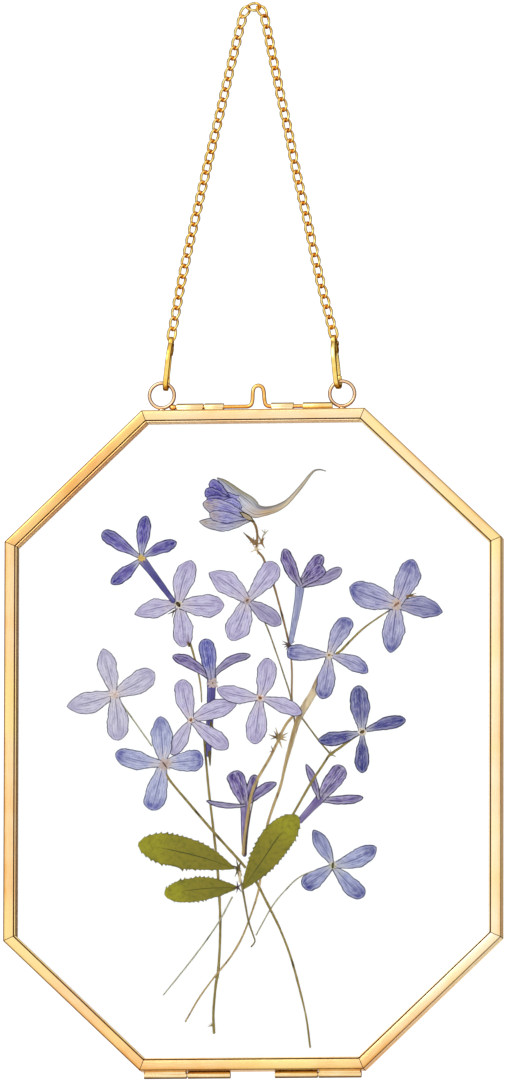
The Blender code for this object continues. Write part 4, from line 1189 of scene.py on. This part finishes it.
def throat_shape(centre, depth, radius, hollow, chance):
    """A ragged star, slightly domed, with a dark hollow and stamens that point in all directions."""
    shape = bmesh.new()
    kind = marks(shape, "kind")
    middle = on_field(centre, depth)
    placing = Matrix.Translation(middle) @ Matrix.Rotation(math.pi / 2, 4, "X")
    disc = bmesh.ops.create_circle(shape, cap_ends=True, cap_tris=True, segments=24, radius=radius * MM,
                                   matrix=placing)
    for number, corner in enumerate(disc["verts"]):
        away = corner.co - middle
        if away.length > 0.1 * MM:
            stretch = (0.7, 1.15) if number % 3 else (0.45, 0.8)
            corner.co = middle + away * chance.uniform(*stretch)
        else:
            corner.co.y -= 0.08 * MM
    star = len(shape.verts)
    for number in range(STAMENS):
        turn = math.tau * (number + chance.uniform(-0.4, 0.4)) / STAMENS
        reach = radius * chance.uniform(0.25, 0.75)
        way = Vector((math.cos(turn), -0.1, math.sin(turn)))
        start = middle + way * 0.15 * MM - Y_AXIS * 0.08 * MM
        thread = [start + way * reach * MM * part for part in (0.0, 0.4, 0.8, 1.0)]
        sweep(shape, thread, [0.06 * MM, 0.05 * MM, 0.05 * MM, 0.04 * MM], 6)
        ball(shape, thread[-1], -turn, STAMEN_HEAD, 2)
    for corner in list(shape.verts)[star:]:
        corner[kind] = 1.0
    if hollow:
        half_length, half_width, turn = hollow
        radii = (half_length, HOLLOW_DEPTH, half_width)
        for corner in ball(shape, middle - Y_AXIS * HOLLOW_DEPTH * MM, -math.radians(turn), radii, 3):
            corner[kind] = 2.0
    return shape


stamen_finishes = {name: stamen_finish(name, *colours) for name, colours in STAMEN_COLOURS.items()}
throat_chance = random.Random(11)
for name, (layer, centre, radius, colour, hollow) in THROATS.items():
    shape = throat_shape(centre, LAYER_DEPTHS[layer] - 0.14, radius, hollow, throat_chance)
    piece(f"throat_{name}", shape, "back_half", stamen_finishes[colour])

# ---- The stalks -------------------------------------------------------------------------------
# Dry stalks and flower stems, flat from the press and ribbed along their length, from olive and tan
# to grey brown. Most of them cross at the tie where the leaves grow.
# Each stalk: finish, layer, width at both ends, and its points from the flower outwards.
STALKS = {
    "02_upper": ("olive", 3, 0.8, 0.4, [
        (-20.4, 32.6), (-18.5, 26.9), (-16.6, 19.6), (-15.9, 15.0), (-15.7, 11.4)]),
    "02_main": ("olive", 3, 0.75, 0.85, [
        (-15.2, 3.4), (-14.8, -0.8), (-13.6, -14.0), (-11.9, -28.3), (-10.6, -41.0), (-9.9, -55.6),
        (-10.4, -68.7), (-11.2, -73.8), (-11.9, -82.0), (-11.7, -88.2)]),
    "03_thread": ("olive_grey", 1, 0.48, 0.45, [
        (-0.9, 40.4), (3.3, 35.3), (7.0, 25.6), (9.4, 18.5), (11.0, 13.5), (12.0, 8.0)]),
    "05_stem": ("olive", 1, 0.42, 0.78, [
        (41.8, 38.9), (37.6, 36.2), (33.1, 33.0), (29.3, 29.4), (26.4, 26.4), (25.0, 25.6)]),
    "06_calyx": ("straw", 3, 2.9, 0.8, [
        (20.4, 18.4), (18.3, 14.4), (15.0, 8.9), (13.1, 4.8), (11.5, -0.8), (9.9, -6.6), (8.8, -11.4)]),
    "06_stem": ("tan", 2, 0.95, 0.5, [
        (14.2, 7.4), (12.6, 4.2), (10.6, -3.6), (8.3, -13.8), (6.0, -20.3), (4.2, -26.3), (2.8, -35.7),
        (1.6, -45.6), (-1.3, -54.7), (-3.8, -60.6), (-7.2, -66.1), (-11.4, -71.2), (-16.1, -77.6),
        (-20.3, -84.8)]),
    "07_thread": ("grey", 2, 0.55, 0.45, [
        (-41.4, 13.2), (-37.0, 7.2), (-33.6, 2.4), (-30.7, -1.7)]),
    "11_stem": ("olive", 0, 0.75, 0.9, [
        (-26.6, -8.4), (-25.4, -11.8), (-18.8, -19.8), (-11.5, -28.3), (-4.2, -36.4), (-2.3, -38.6)]),
    "11_stem_end": ("olive", 2, 0.85, 0.55, [
        (-1.2, -40.0), (1.2, -43.4), (3.4, -47.7), (5.5, -51.8), (8.4, -57.8), (11.4, -65.7),
        (14.0, -75.0), (16.1, -83.9), (17.3, -92.8)]),
    "12_stem": ("olive", 0, 0.75, 0.8, [
        (32.0, 1.2), (29.6, -0.4), (26.0, -3.0), (23.1, -5.0), (21.2, -7.8), (17.5, -13.4), (12.2, -22.6)]),
    "12_side": ("olive_grey", 0, 0.6, 0.5, [
        (23.6, -5.1), (19.6, -0.4), (14.7, 6.2)]),
    "15_thread": ("grey", 3, 0.5, 0.42, [
        (22.6, -38.6), (14.5, -41.3), (9.6, -45.6), (5.5, -50.7), (0.9, -58.9)]),
    "larkspur_stem": ("brown", 3, 0.8, 0.55, [
        (-1.6, 66.6), (-0.1, 65.4), (0.7, 63.6), (1.0, 61.2), (0.9, 59.0), (0.8, 57.1), (2.7, 54.8),
        (3.9, 51.5), (5.6, 47.6), (8.6, 37.0), (10.8, 27.7), (11.5, 20.9), (11.5, 13.0), (12.0, 8.0),
        (12.4, 5.0)]),
    "thorny": ("tan", 1, 0.85, 0.95, [
        (11.7, 6.5), (9.6, 3.9), (6.9, -1.8), (5.1, -5.5), (0.9, -12.9), (-0.9, -18.4), (-2.5, -29.1),
        (-3.0, -34.6)]),
    # A painted shadow: a near-black strip along the right side of the thorny stalk.
    "thorny_edge": ("black", 1, 0.35, 0.8, [
        (0.1, -18.0), (-1.0, -23.5), (-1.9, -29.3), (-2.3, -34.9)]),
    "grey": ("grey", 2, 0.55, 0.42, [
        (-6.3, -47.5), (-10.6, -55.4), (-17.4, -64.9), (-26.9, -76.7)]),
    "curled": ("olive_grey", 0, 0.7, 0.5, [
        (-5.0, -38.9), (-4.1, -41.1), (-3.4, -43.7), (-2.2, -49.9), (-1.3, -54.7), (0.2, -59.2),
        (0.7, -61.0), (-0.4, -62.5)]),
}
# A calyx is wider than a stalk and pressed flatter.
CALYX_WIDTH = 2
CALYX_FLATNESS = 0.12
STALK_FLATNESS = 0.32
STALK_NODES = {"thorny": ["stalk_thorny"], "grey": ["stalk_grey"], "curled": ["stalk_curled"]}
STALK_COLOURS = {
    "olive": ((160, 141, 80), (78, 68, 28)),
    "tan": ((200, 172, 118), (78, 54, 26)),
    "straw": ((236, 216, 178), (140, 102, 56)),
    "grey": ((184, 179, 152), (108, 103, 80)),
    "olive_grey": ((140, 126, 82), (62, 52, 28)),
    "brown": ((158, 124, 80), (66, 46, 26)),
    "black": ((84, 66, 66), (34, 24, 26)),
    "moss": ((108, 94, 50), (38, 30, 16)),
}


def stalk_finish(name, light, dark):
    """Dry stalk: ribs along it, light on the middle and painted shade at the edges, with darker nodes."""
    light, dark = paints(light, dark)
    made, where = matt_finish(name + "_stalk", 0.7)
    ribs = grain(where["UV"], (5.0, 16.0, 1.0), 3.0)
    patches = grain(where["Object"], (330.0, 330.0, 120.0), 3.0)
    # Painted shade on the stalk's sides and back, leaving its front middle light, together with the dark
    # ribs and patches.
    wave = calculate("COSINE", times(split(where["UV"])[1], math.tau))
    marks_and_side_shade = times(between(wave, 0.75, -0.15), 0.95)
    for dark_place in (between(ribs, 0.5, 0.72), between(patches, 0.52, 0.7)):
        marks_and_side_shade = calculate("MAXIMUM", marks_and_side_shade, dark_place)
    return finished(made, mixed(marks_and_side_shade, light, dark), ribs, 0.00006)


stalk_finishes = {name: stalk_finish(name, *colours) for name, colours in STALK_COLOURS.items()}
for number, (name, (kind, layer, start, end, points)) in enumerate(STALKS.items()):
    shape = bmesh.new()
    flat = CALYX_FLATNESS if start > CALYX_WIDTH else STALK_FLATNESS
    ribbon_tube(shape, points, start, end, LAYER_DEPTHS[layer] + 0.08, flat, 0.8, 10, number, 0.2)
    piece(f"stem_{name}", closed_up(shape), "back_half", stalk_finishes[kind], STALK_NODES.get(name, ()))

# ---- The leaves -------------------------------------------------------------------------------
# Three pressed leaves, olive green and yellower at their tips, with a toothed edge, a dark midrib
# and side veins. They grow from the place where the stalks cross.
LEAVES = {
    "leaf_upper_left": (1, [(-5.3, -39.0), (-14.7, -35.7), (-24.6, -33.2), (-34.6, -31.3)], 9.4),
    "leaf_lower_left": (1, [(-4.1, -44.6), (-14.7, -44.9), (-26.7, -46.4)], 7.1),
    "leaf_right": (1, [(-3.4, -45.6), (2.6, -36.9), (7.3, -30.0), (13.5, -23.2)], 9.2),
}
LEAF_TEETH = 19
LEAF_PEAK = 0.6


def dry_leaf():
    """Olive and yellower towards the tip, cloudy and mottled, with fine side veins and a dark midrib
    and rim."""
    made, where = matt_finish("pressed_leaf", 0.62)
    parts = split(where["UV"])
    aside = calculate("ABSOLUTE", minus(parts[1], 0.5))
    slant = plus(times(parts[0], 11.0), times(aside, -4.4))
    veins = between(calculate("PINGPONG", slant, 0.5), 0.07, 0.0)
    midrib = times(between(aside, 0.022, 0.008), between(parts[0], 0.86, 0.6))
    clouds = grain(where["Object"], 170.0, 3.0)
    cells = grain(where["Object"], 2200.0, 2.0)
    mottle = grain(where["Object"], 850.0, 3.0)
    reach = plus(parts[0], times(clouds, 0.4))
    colour = graded(reach, (0.25, paint(132, 122, 34)), (0.85, paint(150, 142, 34)),
                    (1.0, paint(168, 164, 32)))
    colour = coats(colour, (between(clouds, 0.45, 0.8), 1.0, paint(112, 112, 34)),
                   (between(mottle, 0.48, 0.66), 0.55, paint(98, 96, 26)),
                   (cells, 0.35, paint(160, 150, 52)), (veins, 0.3, paint(92, 92, 34)),
                   (midrib, 1.0, paint(62, 64, 22)),
                   (between(aside, 0.46, 0.5), 0.7, paint(64, 60, 24)))
    return finished(made, colour, plus(cells, veins), 0.00008)


def leaf(points, width, depth, seed):
    """A grid drawn along the midrib, as wide as a leaf is there, with teeth along both edges."""
    shape = bmesh.new()
    shape.loops.layers.uv.verify()
    line = smooth(points, 0.3)
    count = len(line) - 1
    corners = bmesh.ops.create_grid(shape, x_segments=count, y_segments=12, size=1.0, calc_uvs=True)["verts"]
    for corner in corners:
        step = round((corner.co.x + 1) / 2 * count)
        share = step / count
        aside = corner.co.y
        ahead = (line[min(step + 1, count)] - line[max(step - 1, 0)]).normalized()
        across = Vector((-ahead.y, ahead.x))
        if share < LEAF_PEAK:
            breadth = math.sin(share / LEAF_PEAK * math.pi / 2) ** 0.9
        else:
            breadth = (1 - ((share - LEAF_PEAK) / (1 - LEAF_PEAK)) ** 2.6) ** 0.62
        uneven = noise.noise(Vector((share * 9.0, seed * 2.3, math.copysign(5.0, aside))))
        tooth = (share * LEAF_TEETH + seed * 0.4 + 0.9 * uneven) % 1.0
        ragged = noise.noise(Vector((share * 7.0, seed * 4.7, math.copysign(3.0, aside))))
        reach = width / 2 * breadth * (1 + 0.05 * ragged)
        if abs(aside) > 0.99:
            reach += (0.66 + 0.75 * uneven) * (1 - tooth) ** 2.5 * min(1.0, share * 2.5)
        ripple = 0.06 * noise.noise(Vector((share * 4.0, aside * 2.0, seed)))
        place = line[step] + across * aside * reach
        corner.co = on_field(place, depth + ripple + 0.05 * (1 - abs(aside)))
    return shape


leaf_finish = dry_leaf()
for number, (name, (layer, points, width)) in enumerate(LEAVES.items()):
    shape = leaf(points, width, LAYER_DEPTHS[layer], number)
    thin_piece(f"toothed_{name}", shape, leaf_finish, [name])

# ---- The bracts and thorns --------------------------------------------------------------------
# Small dry scales, thorns and torn calyx ends on the stalks, and the dark tie at their crossing.
# Each tuft: finish, layer, place, size, and the directions of its points.
TUFTS = {
    "larkspur_spike": ("brown", 3, (-0.1, 59.5), 4.2, (134,)),
    "larkspur_scar": ("brown", 3, (0.0, 59.8), 1.3, (20, 110, 200, 290)),
    "larkspur_bract": ("brown", 3, (2.3, 59.3), 2.4, (60, 84, 122, 200, 290)),
    "larkspur_buds": ("grey", 3, (3.3, 62.1), 1.3, (30, 80, 140, 230)),
    "larkspur_node": ("straw", 3, (0.7, 57.3), 1.9, (0, 70, 140, 210, 290)),
    "lilac_bract": ("black", 2, (-24.2, 38.7), 1.7, (215, 250, 30)),
    "lilac_scale": ("brown", 2, (-19.5, 28.4), 1.7, (70, 110, 90)),
    "violet_calyx": ("black", 0, (10.8, 28.3), 2.2, (180, 160, 200, 250, 20, 100)),
    "thorny_node": ("tan", 1, (7.6, 0.2), 2.9, (75, 100, 40, 10, -25, -60, 160)),
    "thorny_bud": ("brown", 1, (7.3, 0.6), 1.9, (50, 90, 130, 200, 330)),
    "thorny_scar": ("brown", 1, (6.0, -3.6), 1.5, (240, 200, 100)),
    "tie": ("moss", 0, (-4.3, -38.9), 2.6, (70, 110, 250, 290, 160)),
    "tie_middle": ("straw", 0, (-3.9, -41.6), 2.2, (80, 100, 260, 280)),
    "lower_tie": ("black", 0, (-4.5, -44.6), 1.9, (90, 200, 250, 300, 30)),
    "olive_node": ("olive", 0, (29.3, -0.6), 1.0, (60, 210, 240)),
    "fork_node": ("olive", 0, (23.6, -5.0), 1.5, (30, 100, 220, 340)),
    "main_node": ("olive", 3, (-11.1, -71.7), 1.0, (0, 90, 180, 270)),
    "main_nub": ("olive", 3, (-12.2, -86.0), 1.2, (170, 200, 120)),
    "periwinkle_calyx": ("brown", 1, (46.6, 42.6), 2.6, (10, 30, 55)),
    "tube_end_upper": ("moss", 1, (-12.8, 5.0), 1.6, (250, 280, 310)),
    "tube_end_lower": ("moss", 2, (-13.2, -4.2), 3.4, (262, 275, 285)),
}


def tuft(layer, centre, size, directions, chance):
    """A few short tapering scales that grow from one place."""
    shape = bmesh.new()
    for direction in directions:
        turn = math.radians(direction + chance.uniform(-12, 12))
        length = size * chance.uniform(0.75, 1.15)
        points = [(centre[0] + math.cos(turn) * length * part, centre[1] + math.sin(turn) * length * part)
                  for part in (-0.12, 0.3, 0.65, 1.0)]
        depth = LAYER_DEPTHS[layer] + chance.uniform(-0.12, 0.05)
        ribbon_tube(shape, points, size * 0.34, 0.12, depth, 0.22, 0.3, 8, direction)
    return shape


tuft_chance = random.Random(5)
for name, (kind, layer, centre, size, directions) in TUFTS.items():
    shape = tuft(layer, centre, size, directions, tuft_chance)
    piece(f"tuft_{name}", closed_up(shape), "back_half", stalk_finishes[kind])

# ---- The studio -------------------------------------------------------------------------------
# A plain pale floor well below the hanging frame, soft even light from a white room with darker
# sides, one large soft lamp, and the camera a little below and to the right of the frame.
CAMERA_AZIMUTH = 6.5
CAMERA_ELEVATION = -6.5
CAMERA_DISTANCE = 6.0
CAMERA_ROLL = 0.135
VIEW_MIDDLE = (0.0, 0.0, -0.1602)
VIEW_HEIGHT = 0.3240
SENSOR = 36.0
FLOOR_HEIGHT = -0.56
FLOOR_RADIUS = 1.6
FLOOR_COLOUR = (0.86, 0.86, 0.85, 1.0)
LAMP_PLACE = (-1.1, -1.9, 1.1)
LAMP_SIZE = 1.4
LAMP_POWER = 14.0
# What brass and glass mirror, from in front of the frame to behind it.
BRIGHT = (1.01, 0.99, 0.97, 1.0)
PALE = (0.98, 0.9, 0.76, 1.0)
REAR = (0.5, 0.4, 0.29, 1.0)
SIDE = (0.36, 0.27, 0.17, 1.0)
DIM = (0.2, 0.12, 0.07, 1.0)
DARK = (0.09, 0.045, 0.02, 1.0)

scene = bpy.context.scene
scene.view_settings.view_transform = "Standard"
world = bpy.data.worlds.new("studio")
scene.world = world
world.use_nodes = True
studio = world.node_tree
rays = node(studio, "ShaderNodeLightPath").outputs
facing = split(node(studio, "ShaderNodeTexCoord").outputs["Generated"])
frontness = ranged(facing[1], -0.5, 0.5)
room = graded(frontness, (0.04, REAR), (0.12, DARK), (0.26, DARK), (0.44, SIDE), (0.52, SIDE),
              (0.64, DIM), (0.76, BRIGHT))
behind = between(frontness, 0.16, 0.06)
below = times(between(facing[2], 0.0, -0.1), behind)
room = mixed(below, room, PALE)
upness = between(facing[2], 0.5, 0.9)
room = mixed(times(upness, 0.35), room, BRIGHT)
through_glass = times(rays["Is Transmission Ray"], 0.65)
mirrored = times(rays["Is Singular Ray"], 0.94)
mirrored = times(mirrored, minus(1.0, rays["Is Transmission Ray"]))
room = mixed(plus(through_glass, mirrored), room, (0.0, 0.0, 0.0, 1.0))
lit = calculate("MINIMUM", rays["Diffuse Depth"], 1.0)
reflected = calculate("MINIMUM", rays["Glossy Depth"], 1.0)
reflected = times(reflected, minus(1.0, lit))
level = ranged(lit, 0.32, 1.14)
white = worked("ShaderNodeCombineXYZ", {0: level, 1: level, 2: level})[0]
light = mixed(reflected, white, room)
feed(studio.nodes["Background"], {"Color": light})

floor_shape = bmesh.new()
bmesh.ops.create_circle(floor_shape, cap_ends=True, segments=96, radius=FLOOR_RADIUS,
                        matrix=Matrix.Translation((0.0, 0.0, FLOOR_HEIGHT)))
floor_mesh = bpy.data.meshes.new("floor")
floor_shape.to_mesh(floor_mesh)
floor_shape.free()
floor = bpy.data.objects.new("floor", floor_mesh)
scene.collection.objects.link(floor)
floor_finish, floor_shader, _ = new_finish("pale_floor", 0.9, 0.0)
feed(floor_shader, {"Base Color": FLOOR_COLOUR})
floor_mesh.materials.append(floor_finish)
floor.visible_glossy = False

lamp_data = bpy.data.lights.new("soft_lamp", "AREA")
lamp_data.size = LAMP_SIZE
lamp_data.energy = LAMP_POWER
lamp = bpy.data.objects.new("soft_lamp", lamp_data)
scene.collection.objects.link(lamp)
lamp.location = LAMP_PLACE
lamp.rotation_euler = (Vector(VIEW_MIDDLE) - lamp.location).to_track_quat("-Z", "Y").to_euler()

camera_data = bpy.data.cameras.new("camera")
camera_data.sensor_width = SENSOR
camera_data.lens = SENSOR * CAMERA_DISTANCE / VIEW_HEIGHT
camera = bpy.data.objects.new("camera", camera_data)
scene.collection.objects.link(camera)
azimuth = math.radians(CAMERA_AZIMUTH)
elevation = math.radians(CAMERA_ELEVATION)
level_part = math.cos(elevation)
away = Vector((math.sin(azimuth) * level_part, -math.cos(azimuth) * level_part, math.sin(elevation)))
camera.location = Vector(VIEW_MIDDLE) + away * CAMERA_DISTANCE
roll = Matrix.Rotation(math.radians(CAMERA_ROLL), 3, "Z")
camera.rotation_euler = ((-away).to_track_quat("-Z", "Y").to_matrix() @ roll).to_euler()
scene.camera = camera
